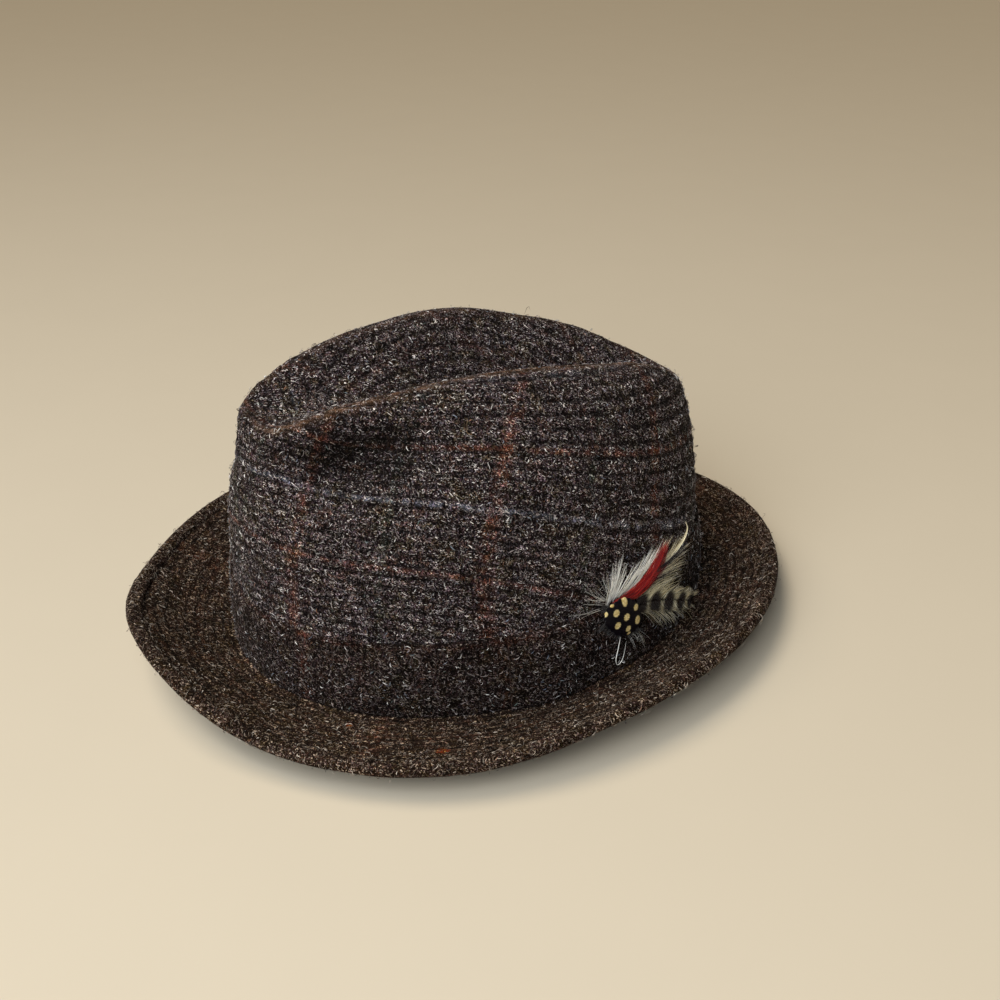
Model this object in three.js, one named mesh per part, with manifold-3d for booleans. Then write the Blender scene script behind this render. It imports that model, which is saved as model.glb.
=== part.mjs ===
// A stitched tweed hat with a dented crown, a turned brim, a self-cloth band and a feather trim.
// Lengths are millimetres. +Z is up, the front faces -Y, and the wearer's left side faces +X.
// The origin is on the surface that the hat rests on, under the middle of the brim.
// Angles round the hat are degrees: 0 at the front, 90 at the wearer's left, 180 at the back.
import * as THREE from "three";
import { mergeVertices } from "three/addons/utils/BufferGeometryUtils.js";
import Module from "manifold-3d";

// Head size and cloth
const headHalfLength = 104;
const headHalfWidth = 83.6;
const frontFullness = 0.023;
const crownWall = 2.4;
const brimPlate = 2.8;
const sewnGap = 0.3;

// Crown: the ridge is the rim of the dent, and the crease is the bottom of it
const ridgeHalfLength = 92;
const creaseHalfLength = 80;
const crownRows = [
  { along: -1, ridgeHalf: 25, ridgeTop: 106.4, rightDrop: 0, dent: 2 },
  { along: -0.75, ridgeHalf: 26.7, ridgeTop: 113.8, rightDrop: 0, dent: 9 },
  { along: -0.5, ridgeHalf: 29.6, ridgeTop: 117.7, rightDrop: 0, dent: 17 },
  { along: -0.25, ridgeHalf: 32.5, ridgeTop: 119.1, rightDrop: 1.2, dent: 22 },
  { along: 0, ridgeHalf: 36.1, ridgeTop: 118.5, rightDrop: 1.8, dent: 25 },
  { along: 0.25, ridgeHalf: 37, ridgeTop: 115.4, rightDrop: 1.5, dent: 25 },
  { along: 0.5, ridgeHalf: 32.5, ridgeTop: 109.4, rightDrop: 1.3, dent: 22 },
  { along: 0.75, ridgeHalf: 27, ridgeTop: 101.4, rightDrop: 1.2, dent: 14 },
  { along: 1, ridgeHalf: 26, ridgeTop: 88.8, rightDrop: 0, dent: 3 },
];
const lean = { front: 1.3, back: 3.3, side: 4.8 };
const shoulder = { in: 0.315, up: 0.978, backIn: 0.178, backUp: 0.99, wallUp: 0.52 };
const pinch = { depth: 13, at: 46, wide: 25, height: 98, climb: 0.25, tall: 13, sink: 0.25, fade: 10 };
const dentSlope = { start: 0.18, end: 1.06 };

// Brim: width and rise of its edge, measured level and upright from the foot of the crown
const brimRows = [
  { at: 0, width: 42.7, rise: 28 },
  { at: 30, width: 40.6, rise: 15.4 },
  { at: 60, width: 41.5, rise: 13.8 },
  { at: 90, width: 37.2, rise: 17.3 },
  { at: 120, width: 35.5, rise: 14.8 },
  { at: 150, width: 35, rise: 11.4 },
  { at: 180, width: 38.4, rise: 9.1 },
];
const brimTwist = -2.5;
const brimFoot = 4;
const brimCurl = 1.25;
const brimShift = (brimRows[0].width - brimRows[brimRows.length - 1].width) / 2;

// Upper half of the welt that is folded over the edge of the brim, from its mouth to its nose. Out is
// measured from the brim's edge and up from the brim's middle layer.
const weltRows = [
  { out: -4.2, up: 2.4 },
  { out: -2.7, up: 2.7 },
  { out: 0.2, up: 2.3 },
  { out: 1.5, up: 1.25 },
  { out: 1.8, up: 0 },
];
const weltNose = weltRows[weltRows.length - 1].out;

// Band of the same cloth, whose end laps over its start
const band = { foot: 3.2, height: 31.5, thick: 1.6, endAt: 73, lap: 14, ramp: 10, belly: 0.5 };

// Feather trim, laid out on a plane that touches the band: back and up are measured from the pad's middle
const trimAt = { angle: 98.5, height: 29.5 };
const layer = { thick: 1.1, gap: 0.3 };
const lock = { bow: 0.08, rootWidth: 0.35, bulgeFrom: 0.25, bulgeTo: 0.9, thinning: 0.45 };
const backing = { flatness: 0.8, thick: 0.9 };
const rootSlope = 0.3;
const pad = { back: 1, up: 0.8, halfLength: 11, halfHeight: 7.6, thick: 2.6, turn: -38 };
const hackleLocks = [
  { back: -2.5, up: 22.5, width: 2.6 },
  { back: 2.5, up: 24, width: 3 },
  { back: 7, up: 21, width: 3.2 },
  { back: 13, up: 18, width: 3.4 },
  { back: 19.5, up: 21, width: 3.4 },
  { back: 26, up: 23, width: 3.2 },
  { back: 32, up: 23.5, width: 3 },
  { back: 38.5, up: 24, width: 2.8 },
  { back: 40, up: 15, width: 2.6 },
];
const hackleRoot = { back: 1, up: 3, spread: 5, half: 5.5 };
const redLocks = [
  { back: 28, up: 23, width: 5.6 },
  { back: 30.5, up: 21.5, width: 4.4 },
];
const redRoot = { back: 3.5, up: 5, half: 3.2 };
const barredLocks = [
  { back: 37.5, up: 3, width: 6 },
  { back: 39, up: -5, width: 6.5 },
  { back: 35, up: -11.5, width: 6 },
  { back: 26.5, up: -14, width: 5 },
];
const barredRoot = { back: 10.5, up: -0.5, half: 2.8 };

// Fineness of the faceted surfaces
const roundSteps = 60;
const brimSteps = 72;
const wallSteps = 10;
const dentSteps = 5;
const plateSteps = 6;
const bandSteps = 78;
const lockSteps = 5;
const backingSteps = 6;
const padSides = 18;
const padRings = 10;
const wallCrowding = 1.25;
const mergeWithin = 1e-3;
const nudge = 1e-3;
const halvings = 16;

const wasm = await Module();
wasm.setup();

const rad = THREE.MathUtils.degToRad;

// Smooth value of a named column of a table between its rows. The slope at a row is taken from its
// neighbours.
function readRows(rows, place, column, at, levelEnds) {
  const slope = (i) => {
    const low = rows[Math.max(i - 1, 0)];
    const high = rows[Math.min(i + 1, rows.length - 1)];
    if (levelEnds && (i === 0 || i === rows.length - 1)) return 0;
    return (high[column] - low[column]) / (high[place] - low[place]);
  };
  let i = rows.findIndex((row) => row[place] > at) - 1;
  if (i < 0) i = at < rows[0][place] ? 0 : rows.length - 2;
  const step = rows[i + 1][place] - rows[i][place];
  const k = (at - rows[i][place]) / step;
  return (
    (2 * k ** 3 - 3 * k ** 2 + 1) * rows[i][column] +
    (k ** 3 - 2 * k ** 2 + k) * step * slope(i) +
    (3 * k ** 2 - 2 * k ** 3) * rows[i + 1][column] +
    (k ** 3 - k ** 2) * step * slope(i + 1)
  );
}

const crownRow = (along, column) => readRows(crownRows, "along", column, along, false);

// Angle from the front, 0 to 180, of either side
const fromFront = (angle) => Math.abs(((((angle + 180) % 360) + 360) % 360) - 180);

const bezier = (a, b, c, d, k) => new THREE.CubicBezierCurve(
  new THREE.Vector2(0, a), new THREE.Vector2(0, b), new THREE.Vector2(0, c), new THREE.Vector2(0, d),
).getPoint(k).y;

// Foot of the crown: an oval a little fuller at the front
function footPoint(angle) {
  const t = rad(angle);
  const x = headHalfWidth * Math.sin(t) * (1 + frontFullness * Math.cos(t));
  return new THREE.Vector2(x, brimShift - headHalfLength * Math.cos(t));
}

// Level direction that points out of the oval
function footNormal(angle) {
  const ahead = footPoint(angle + 0.01);
  const behind = footPoint(angle - 0.01);
  return new THREE.Vector2(ahead.y - behind.y, behind.x - ahead.x).normalize();
}

// Rim of the dent: narrow and rounded at both ends, highest a third of the way back, and a little lower on
// the wearer's right
function ridgePoint(angle) {
  const t = rad(angle);
  const along = -Math.cos(t);
  const roundedEnd = Math.sign(Math.sin(t)) * Math.sqrt(Math.abs(Math.sin(t))) * (1 + along ** 2) ** 0.25;
  const x = crownRow(along, "ridgeHalf") * roundedEnd;
  const drop = roundedEnd < 0 ? crownRow(along, "rightDrop") : 0;
  return new THREE.Vector3(x, brimShift + ridgeHalfLength * along, crownRow(along, "ridgeTop") - drop);
}

const crownFoot = brimPlate + sewnGap;

// Side of the crown at k from 0, its foot, to 1, the ridge: it stands nearly upright, then rounds over the
// shoulder. A soft hollow is pressed into each side near the front.
function wallPoint(angle, k) {
  const c = Math.cos(rad(angle));
  const foot = footPoint(angle);
  const ridge = ridgePoint(angle);
  const inward = new THREE.Vector2(ridge.x - foot.x, ridge.y - foot.y);
  const reach = inward.length();
  inward.normalize();
  const endLean = c > 0 ? lean.front : lean.back;
  const footLean = endLean * c ** 2 + lean.side * (1 - c ** 2);
  const atBack = c < 0 ? c ** 4 : 0;
  const shoulderIn = THREE.MathUtils.lerp(shoulder.in, shoulder.backIn, atBack);
  const shoulderUp = THREE.MathUtils.lerp(shoulder.up, shoulder.backUp, atBack);
  const inset = bezier(0, footLean, footLean + (reach - footLean) * shoulderIn, reach, k);
  const height = bezier(crownFoot, ridge.z * shoulder.wallUp, ridge.z * shoulderUp, ridge.z, k);
  const aside = (fromFront(angle) - pinch.at) / pinch.wide;
  const middle = pinch.height + pinch.climb * (fromFront(angle) - pinch.at);
  const above = (height - middle) / pinch.tall;
  const press = pinch.depth * Math.exp(-(aside ** 2) - above ** 2) * (1 - k ** pinch.fade);
  const level = foot.addScaledVector(inward, inset + press);
  return new THREE.Vector3(level.x, level.y, height - pinch.sink * press);
}

// Slope of the dent at k from 0, the ridge, to 1, the crease, where the two sides meet
function dentPoint(angle, k) {
  const along = -Math.cos(rad(angle));
  const ridge = ridgePoint(angle);
  const depth = ridge.z - crownRow(along, "ridgeTop") + crownRow(along, "dent");
  const x = ridge.x * (1 - k);
  const y = THREE.MathUtils.lerp(ridge.y, brimShift + creaseHalfLength * along, k);
  const sunk = bezier(0, dentSlope.start * depth, dentSlope.end * depth, depth, k);
  return new THREE.Vector3(x, y, ridge.z - sunk);
}

// Steps up the wall are closer together towards the ridge
const wallSpread = (i) => 1 - (1 - i / wallSteps) ** wallCrowding;

function crownPoint(angle, row) {
  if (row <= wallSteps) return wallPoint(angle, wallSpread(row));
  return dentPoint(angle, (row - wallSteps) / dentSteps);
}

// Geometry from sections, each a loop of points. Rings close on the first section, other strips are capped.
function skin(sections, closed) {
  const around = sections[0].length;
  const points = sections.flat();
  const triangles = [];
  const last = closed ? sections.length : sections.length - 1;
  for (let s = 0; s < last; s++) {
    const here = s * around;
    const next = ((s + 1) % sections.length) * around;
    for (let i = 0; i < around; i++) {
      const j = (i + 1) % around;
      triangles.push(here + i, here + j, next + j, here + i, next + j, next + i);
    }
  }
  if (!closed) {
    for (let i = 1; i < around - 1; i++) {
      triangles.push(0, i + 1, i);
      const end = (sections.length - 1) * around;
      triangles.push(end, end + i, end + i + 1);
    }
  }
  return closedGeometry(points, triangles);
}

// Merges points that coincide, drops triangles that have closed up, and turns the faces outward
function closedGeometry(points, triangles) {
  const rough = new THREE.BufferGeometry().setFromPoints(points);
  rough.setIndex(triangles);
  const merged = mergeVertices(rough, mergeWithin);
  const index = merged.getIndex().array;
  const place = merged.getAttribute("position");
  const corner = (i) => new THREE.Vector3().fromBufferAttribute(place, i);
  const kept = [];
  let volume = 0;
  for (let i = 0; i < index.length; i += 3) {
    const [a, b, c] = [index[i], index[i + 1], index[i + 2]];
    if (a === b || b === c || c === a) continue;
    kept.push(a, b, c);
    volume += corner(a).dot(corner(b).cross(corner(c)));
  }
  if (volume < 0) kept.reverse();
  merged.setIndex(kept);
  return merged;
}

function toManifold(geometry) {
  const vertProperties = new Float32Array(geometry.getAttribute("position").array);
  const triVerts = new Uint32Array(geometry.getIndex().array);
  return new wasm.Manifold(new wasm.Mesh({ numProp: 3, vertProperties, triVerts }));
}

function fromManifold(body) {
  const mesh = body.getMesh();
  const geometry = new THREE.BufferGeometry();
  geometry.setAttribute("position", new THREE.BufferAttribute(new Float32Array(mesh.vertProperties), 3));
  geometry.setIndex(Array.from(mesh.triVerts));
  return geometry;
}

const fuse = (geometries) => fromManifold(geometries.map(toManifold).reduce((all, one) => all.add(one)));

// Direction out of the crown's cloth, from the neighbouring points
function crownNormal(angle, row) {
  const turn = 0.5;
  const rise = 0.05;
  const round = crownPoint(angle + turn, row).sub(crownPoint(angle - turn, row));
  const up = crownPoint(angle, Math.min(row + rise, wallSteps + dentSteps)).sub(
    crownPoint(angle, Math.max(row - rise, 0)),
  );
  return round.cross(up).normalize();
}

// Crown: one shell, open below, whose two sides meet along the crease
function crownGeometry() {
  const rows = wallSteps + dentSteps;
  const sections = [];
  for (let s = 0; s < roundSteps; s++) {
    const angle = (360 * s) / roundSteps;
    const outer = [];
    const inner = [];
    for (let row = 0; row <= rows; row++) {
      const point = crownPoint(angle, row);
      const normal = row === rows ? new THREE.Vector3(0, 0, 1) : crownNormal(angle, row);
      if (row === 0) normal.setZ(0).normalize();
      outer.push(point);
      inner.unshift(point.clone().addScaledVector(normal, -crownWall));
    }
    sections.push([...outer, ...inner]);
  }
  return shellWithCrease(sections, rows);
}

// The last outer row and the first inner row lie on the crease line, where nothing joins them
function shellWithCrease(sections, rows) {
  const around = sections[0].length;
  const triangles = [];
  for (let s = 0; s < sections.length; s++) {
    const here = s * around;
    const next = ((s + 1) % sections.length) * around;
    for (let i = 0; i < around; i++) {
      if (i === rows) continue;
      const j = (i + 1) % around;
      triangles.push(here + i, here + j, next + j, here + i, next + j, next + i);
    }
  }
  return closedGeometry(sections.flat(), triangles);
}

// Level distance out from the oval, and height, of the brim's middle layer at k from 0, the foot, to 1,
// the edge
function brimMiddle(angle, k) {
  const a = fromFront(angle);
  const width = readRows(brimRows, "at", "width", a, true);
  const rise = readRows(brimRows, "at", "rise", a, true) + brimTwist * Math.sin(2 * rad(angle));
  return new THREE.Vector2(THREE.MathUtils.lerp(brimFoot, width, k), brimPlate / 2 + rise * k ** brimCurl);
}

// Point of a level and upright profile, carried round the oval
function placeProfile(angle, out, height) {
  const level = footPoint(angle).addScaledVector(footNormal(angle), out);
  return new THREE.Vector3(level.x, level.y, height);
}

const plateEnd = (angle) => 1 - weltNose / readRows(brimRows, "at", "width", fromFront(angle), true);

// Brim: a plate that lies flat under the crown and curls up to its edge
function brimGeometry() {
  const sections = [];
  for (let s = 0; s < brimSteps; s++) {
    const angle = (360 * s) / brimSteps;
    const top = [placeProfile(angle, -crownWall, brimPlate)];
    const bottom = [placeProfile(angle, -crownWall, 0)];
    for (let i = 0; i <= plateSteps; i++) {
      const k = (plateEnd(angle) * i) / plateSteps;
      const middle = brimMiddle(angle, k);
      const ahead = brimMiddle(angle, k + nudge).sub(middle).normalize();
      const half = brimPlate / 2;
      const normal = i === 0 ? new THREE.Vector2(0, 1) : new THREE.Vector2(-ahead.y, ahead.x);
      const above = middle.clone().addScaledVector(normal, half);
      const below = middle.clone().addScaledVector(normal, -half);
      top.push(placeProfile(angle, above.x, above.y));
      bottom.unshift(placeProfile(angle, below.x, Math.max(below.y, 0)));
    }
    sections.push([...top, ...bottom]);
  }
  return skin(sections, true);
}

// Welt: a folded strip that holds the brim's edge in its slot
function weltGeometry() {
  const slot = brimPlate / 2 + sewnGap;
  const profile = [{ out: weltRows[0].out, up: slot }, ...weltRows];
  const lower = profile.slice(0, -1).reverse().map(({ out, up }) => ({ out, up: -up }));
  const inside = [{ out: sewnGap, up: -slot }, { out: sewnGap, up: slot }];
  const loop = [...profile, ...lower, ...inside];
  const sections = [];
  for (let s = 0; s < brimSteps; s++) {
    const angle = (360 * s) / brimSteps;
    const k = plateEnd(angle);
    const end = brimMiddle(angle, k);
    const ahead = brimMiddle(angle, k + nudge).sub(end).normalize();
    sections.push(loop.map(({ out, up }) => placeProfile(
      angle, end.x + ahead.x * out - ahead.y * up, end.y + ahead.y * out + ahead.x * up,
    )));
  }
  return skin(sections, true);
}

// How far the band's inner face stands off the crown after it has run this many degrees from its start
function bandOffset(run) {
  const lapped = band.thick + sewnGap;
  return sewnGap + lapped * THREE.MathUtils.smoothstep(run, 360 - band.ramp, 360);
}

// Point near the crown at a height above the foot, this far out of the cloth
function besideCrown(angle, height, out) {
  let low = 0;
  let high = 1;
  for (let i = 0; i < halvings; i++) {
    const half = (low + high) / 2;
    if (wallPoint(angle, half).z < height) low = half;
    else high = half;
  }
  const level = footNormal(angle);
  return wallPoint(angle, low).add(new THREE.Vector3(level.x * out, level.y * out, 0));
}

// Band: one strip wound once round the crown's foot, with its end lapped over its start
function bandGeometry() {
  const sections = [];
  const total = 360 + band.lap;
  for (let s = 0; s <= bandSteps; s++) {
    const run = (total * s) / bandSteps;
    const angle = band.endAt + band.lap - run;
    const inner = bandOffset(run);
    const outer = inner + band.thick;
    const middle = band.foot + band.height / 2;
    const top = band.foot + band.height;
    sections.push([
      besideCrown(angle, band.foot, inner),
      besideCrown(angle, band.foot, outer),
      besideCrown(angle, middle, outer + band.belly),
      besideCrown(angle, top, outer),
      besideCrown(angle, top, inner),
      besideCrown(angle, middle, inner),
    ]);
  }
  return skin(sections, false);
}

// Frame of the feather trim: back along the band, up the crown and out of it
function trimFrame() {
  const run = band.endAt + band.lap + 360 - trimAt.angle;
  const out = bandOffset(run) + band.thick + band.belly + layer.gap;
  const [turn, rise] = [1, 3];
  const origin = besideCrown(trimAt.angle, trimAt.height, out);
  const back = besideCrown(trimAt.angle + turn, trimAt.height, out).sub(origin).normalize();
  const up = besideCrown(trimAt.angle, trimAt.height + rise, out).sub(origin).normalize();
  const outward = new THREE.Vector3().crossVectors(back, up).normalize();
  up.crossVectors(outward, back);
  return new THREE.Matrix4().makeBasis(back, up, outward).setPosition(origin);
}

// A lock: a flat tapered strip from the root to its tip, with a slight bow, thinnest at its edges
function lockGeometry(root, tip, lift) {
  const start = new THREE.Vector3(root.back, root.up, lift);
  const end = new THREE.Vector3(tip.back, tip.up, lift);
  const bowed = start.clone().lerp(end, 0.5);
  bowed.x -= lock.bow * (tip.up - root.up);
  bowed.y += lock.bow * (tip.back - root.back);
  const path = new THREE.QuadraticBezierCurve3(start, bowed, end);
  const sections = [];
  for (let i = 0; i <= lockSteps; i++) {
    const k = i / lockSteps;
    const point = path.getPoint(k);
    const along = path.getTangent(k);
    const side = new THREE.Vector3(-along.y, along.x, 0);
    const bulge = Math.sin(Math.PI * THREE.MathUtils.lerp(lock.bulgeFrom, lock.bulgeTo, k));
    const half = (tip.width / 2) * THREE.MathUtils.lerp(lock.rootWidth, 1, bulge);
    const thick = (layer.thick / 2) * (1 - lock.thinning * k);
    sections.push([
      point.clone().addScaledVector(side, half),
      point.clone().add(new THREE.Vector3(0, 0, thick)),
      point.clone().addScaledVector(side, -half),
      point.clone().add(new THREE.Vector3(0, 0, -thick)),
    ]);
  }
  return skin(sections, false);
}

// Backing of a bunch of locks: a small flat oval plate
function backingGeometry(root, lift) {
  const high = root.half * backing.flatness;
  const outline = new THREE.Shape().absellipse(root.back, root.up, root.half, high, 0, Math.PI * 2);
  const depth = backing.thick;
  const options = { depth, bevelEnabled: false, curveSegments: backingSteps };
  const plate = new THREE.ExtrudeGeometry(outline, options);
  plate.translate(0, 0, lift - depth / 2);
  plate.deleteAttribute("normal");
  plate.deleteAttribute("uv");
  return mergeVertices(plate, mergeWithin);
}

function bunchGeometry(locks, root, lift) {
  const spread = root.spread ?? 0;
  const pieces = locks.map((tip, i) => {
    const shift = spread * (i / Math.max(locks.length - 1, 1) - 0.5);
    return lockGeometry({ back: root.back + shift, up: root.up - shift * rootSlope }, tip, lift);
  });
  return fuse([backingGeometry(root, lift), ...pieces]);
}

// Spotted pad over the roots of the feathers
function padGeometry(lift) {
  const ball = new THREE.SphereGeometry(1, padSides, padRings);
  ball.scale(pad.halfLength, pad.halfHeight, pad.thick / 2);
  ball.rotateZ(rad(pad.turn));
  ball.translate(pad.back, pad.up, lift);
  ball.deleteAttribute("normal");
  ball.deleteAttribute("uv");
  const merged = mergeVertices(ball, mergeWithin);
  return closedGeometry(pointsOf(merged), Array.from(merged.getIndex().array));
}

function pointsOf(geometry) {
  const place = geometry.getAttribute("position");
  return Array.from({ length: place.count }, (_, i) => new THREE.Vector3().fromBufferAttribute(place, i));
}

const tweed = (color) => new THREE.MeshStandardMaterial({ color, roughness: 0.95, metalness: 0 });
const plume = (color) => new THREE.MeshStandardMaterial({ color, roughness: 0.6, metalness: 0 });

function piece(name, geometry, material) {
  const mesh = new THREE.Mesh(geometry, material);
  mesh.name = name;
  return mesh;
}

const hat = new THREE.Group();
hat.add(piece("crown", crownGeometry(), tweed(0x3a3133)));
hat.add(piece("brim", brimGeometry(), tweed(0x3d3230)));
hat.add(piece("brim_welt", weltGeometry(), tweed(0x423735)));
hat.add(piece("hat_band", bandGeometry(), tweed(0x352d2f)));

const trim = new THREE.Group();
trimFrame().decompose(trim.position, trim.quaternion, trim.scale);
const lowLayer = layer.thick / 2;
const midLayer = lowLayer + layer.thick + layer.gap;
const padLayer = midLayer + layer.thick / 2 + layer.gap + pad.thick / 2;
trim.add(piece("white_hackle", bunchGeometry(hackleLocks, hackleRoot, lowLayer), plume(0xd9d2c4)));
trim.add(piece("red_feather", bunchGeometry(redLocks, redRoot, midLayer), plume(0xa51218)));
trim.add(piece("barred_feather", bunchGeometry(barredLocks, barredRoot, midLayer), plume(0x8f8468)));
trim.add(piece("spotted_pad", padGeometry(padLayer), plume(0x0d0b12)));
hat.add(trim);

export default hat;
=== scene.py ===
# A stitched tweed trilby with a feather trim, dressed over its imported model. Shapes are worked out in
# millimetres and become metres where a mesh is made. Angles round the hat are degrees: 0 is the front (-Y),
# 90 the wearer's left (+X), 180 the back. Every random draw comes from a seeded generator.
import math

import bpy
import numpy as np
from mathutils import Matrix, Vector


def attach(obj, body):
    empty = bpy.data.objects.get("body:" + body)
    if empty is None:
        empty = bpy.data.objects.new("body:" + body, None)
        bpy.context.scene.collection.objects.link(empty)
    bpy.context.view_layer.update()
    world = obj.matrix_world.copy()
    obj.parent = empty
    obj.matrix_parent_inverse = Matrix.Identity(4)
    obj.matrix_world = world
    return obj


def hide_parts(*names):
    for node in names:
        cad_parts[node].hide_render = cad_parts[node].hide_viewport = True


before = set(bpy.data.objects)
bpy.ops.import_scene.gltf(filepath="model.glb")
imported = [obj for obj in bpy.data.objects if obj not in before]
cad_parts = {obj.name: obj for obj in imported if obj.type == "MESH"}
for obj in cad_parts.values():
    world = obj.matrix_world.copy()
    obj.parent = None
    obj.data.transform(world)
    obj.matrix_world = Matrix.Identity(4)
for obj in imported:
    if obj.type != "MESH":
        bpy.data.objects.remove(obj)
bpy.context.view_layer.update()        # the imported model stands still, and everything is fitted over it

mm = 0.001
print("frame loaded:", len(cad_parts), "nodes")

# Head oval, cloth and dented crown
hat = dict(halfLength=104.0, halfWidth=83.6, frontFullness=0.023, brimPlate=2.8, sewnGap=0.3)
crown = dict(
    along=np.linspace(-1, 1, 9),
    ridgeHalf=np.array([25, 26.7, 29.6, 32.5, 36.1, 37, 32.5, 27, 26]),
    ridgeTop=np.array([106.4, 113.8, 117.7, 119.1, 118.5, 115.4, 109.4, 101.4, 88.8]),
    rightDrop=np.array([0, 0, 0, 1.2, 1.8, 1.5, 1.3, 1.2, 0]),
    dent=np.array([2, 9, 17, 22, 25, 25, 22, 14, 3.0]),
    ridgeHalfLength=92.0, creaseHalfLength=80.0, cloth=2.4,
    leanFront=1.3, leanBack=3.3, leanSide=4.8,
    shoulderIn=0.315, shoulderUp=0.978, backIn=0.178, backUp=0.99, wallUp=0.52,
    pinchDepth=13.0, pinchAt=46.0, pinchWide=25.0, pinchHeight=98.0, pinchClimb=0.25, pinchTall=13.0,
    pinchSink=0.25, pinchFade=10, slopeStart=0.18, slopeEnd=1.06, ridgeRounding=2.0,
    waveRadius=94, columns=256, outerRows=246, innerRows=30)
brim = dict(
    at=np.linspace(0, 180, 7),
    width=np.array([42.7, 40.6, 41.5, 37.2, 35.5, 35, 38.4]),
    rise=np.array([28, 15.4, 13.8, 17.3, 14.8, 11.4, 9.1]),
    twist=-2.5, foot=4.0, curl=1.25, nose=1.8, waveRadius=110,
    columns=384, topRows=62, underRows=34)
brimShift = (brim["width"][0] - brim["width"][-1]) / 2
band = dict(foot=3.2, height=31.5, thick=1.6, endAt=73.0, lap=14.0, ramp=10.0, belly=0.5, edge=0.7,
            columns=460, outerRows=34, innerRows=8)

# Stitched rows and the overcheck of the cloth, measured along the crown from its foot
quilt = dict(pitch=4.3, puff=0.8, lowest=25.0, fall=209.0, gather=1.24, slack=0.62, stiff=1.9,
             brimPitch=3.6, brimPuff=0.32)
check = dict(turn=46.0, firstAt=23.0, leanBack=19.0, leanPower=1.9, leanFrom=40.0, leanOver=84.0,
             rise=46.0, firstUp=63.0)


def readRows(at, xs, ys, levelEnds=False):
    # Hermite curve through the rows of a table: with k from 0 to 1 between two rows of values a and b,
    # slopes p and q and step h it is (2k3-3k2+1)a + (k3-2k2+k)hp + (3k2-2k3)b + (k3-k2)hq
    slope = np.gradient(ys, xs)
    if levelEnds:
        slope[[0, -1]] = 0
    i = np.clip(np.searchsorted(xs, at, side="right") - 1, 0, len(xs) - 2)
    h = xs[i + 1] - xs[i]
    k = (at - xs[i]) / h
    return ((2 * k**3 - 3 * k**2 + 1) * ys[i] + (k**3 - 2 * k**2 + k) * h * slope[i]
            + (3 * k**2 - 2 * k**3) * ys[i + 1] + (k**3 - k**2) * h * slope[i + 1])


def bezier(a, b, c, d, k):
    # cubic through a and d, drawn to b and c: a(1-k)3 + 3bk(1-k)2 + 3ck2(1-k) + dk3
    return a * (1 - k)**3 + 3 * b * k * (1 - k)**2 + 3 * c * k**2 * (1 - k) + d * k**3


def unit(v):
    # the same direction at length 1
    return v / np.maximum(np.linalg.norm(v, axis=-1, keepdims=True), 1e-9)


def footOval(angle):
    # x = half width * sin(angle) * (1 + fullness * cos(angle)), y = shift - half length * cos(angle)
    t = np.radians(angle)
    x = hat["halfWidth"] * np.sin(t) * (1 + hat["frontFullness"] * np.cos(t))
    return np.stack([x, brimShift - hat["halfLength"] * np.cos(t)], -1)


def turnSigned(angle):
    # the same angle between -180 and 180
    return (angle + 180) % 360 - 180


def roundHat(count):
    # count equal steps round the hat, from the front
    return 360 * np.arange(count) / count


def ovalNormal(angle):
    # the foot oval's direction at the angle, turned a right angle outwards
    step = footOval(angle + 0.01) - footOval(angle - 0.01)
    return unit(np.stack([step[..., 1], -step[..., 0]], -1))


def crownProfile(angle, share):
    # Side of the crown for share 0 to 1, a cubic from the foot oval in to the ridge with a soft hollow
    # pressed into it, and the slope of the dent for share 1 to 2, a cubic down to the crease. The right
    # ridge sits a little lower
    angle, share = np.broadcast_arrays(angle, share)
    c = np.cos(np.radians(angle))
    s = np.sin(np.radians(angle))
    foot = footOval(angle)
    ridgeHalf = readRows(-c, crown["along"], crown["ridgeHalf"])
    ridgeX = ridgeHalf * np.sign(s) * np.sqrt(np.abs(s)) * (1 + c**2)**0.25
    ridgeY = brimShift - crown["ridgeHalfLength"] * c
    leftTop = readRows(-c, crown["along"], crown["ridgeTop"])
    ridgeZ = leftTop - np.where(s < 0, readRows(-c, crown["along"], crown["rightDrop"]), 0)
    inward = np.stack([ridgeX, ridgeY], -1) - foot
    reach = np.linalg.norm(inward, axis=-1)
    inward = unit(inward)
    lean = np.where(c > 0, crown["leanFront"], crown["leanBack"]) * c**2 + crown["leanSide"] * (1 - c**2)
    atBack = np.where(c < 0, c**4, 0)
    shoulderIn = crown["shoulderIn"] + (crown["backIn"] - crown["shoulderIn"]) * atBack
    shoulderUp = crown["shoulderUp"] + (crown["backUp"] - crown["shoulderUp"]) * atBack
    k = np.clip(share, 0, 1)
    inset = bezier(0, lean, lean + (reach - lean) * shoulderIn, reach, k)
    footZ = hat["brimPlate"] + hat["sewnGap"]
    height = bezier(footZ, ridgeZ * crown["wallUp"], ridgeZ * shoulderUp, ridgeZ, k)
    fromFront = np.abs(turnSigned(angle))
    aside = fromFront - crown["pinchAt"]
    above = (height - crown["pinchHeight"] - crown["pinchClimb"] * aside) / crown["pinchTall"]
    press = crown["pinchDepth"] * np.exp(-(aside / crown["pinchWide"])**2 - above**2)
    press = press * (1 - k**crown["pinchFade"])
    height = height - crown["pinchSink"] * press
    side = np.concatenate([foot + inward * (inset + press)[..., None], height[..., None]], -1)
    q = np.clip(share - 1, 0, 1)
    depth = ridgeZ - leftTop + readRows(-c, crown["along"], crown["dent"])
    creaseY = brimShift - crown["creaseHalfLength"] * c
    sunk = bezier(0, crown["slopeStart"] * depth, crown["slopeEnd"] * depth, depth, q)
    slope = np.stack([ridgeX * (1 - q), ridgeY + (creaseY - ridgeY) * q, ridgeZ - sunk], -1)
    return np.where((share > 1)[..., None], slope, side)


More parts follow.
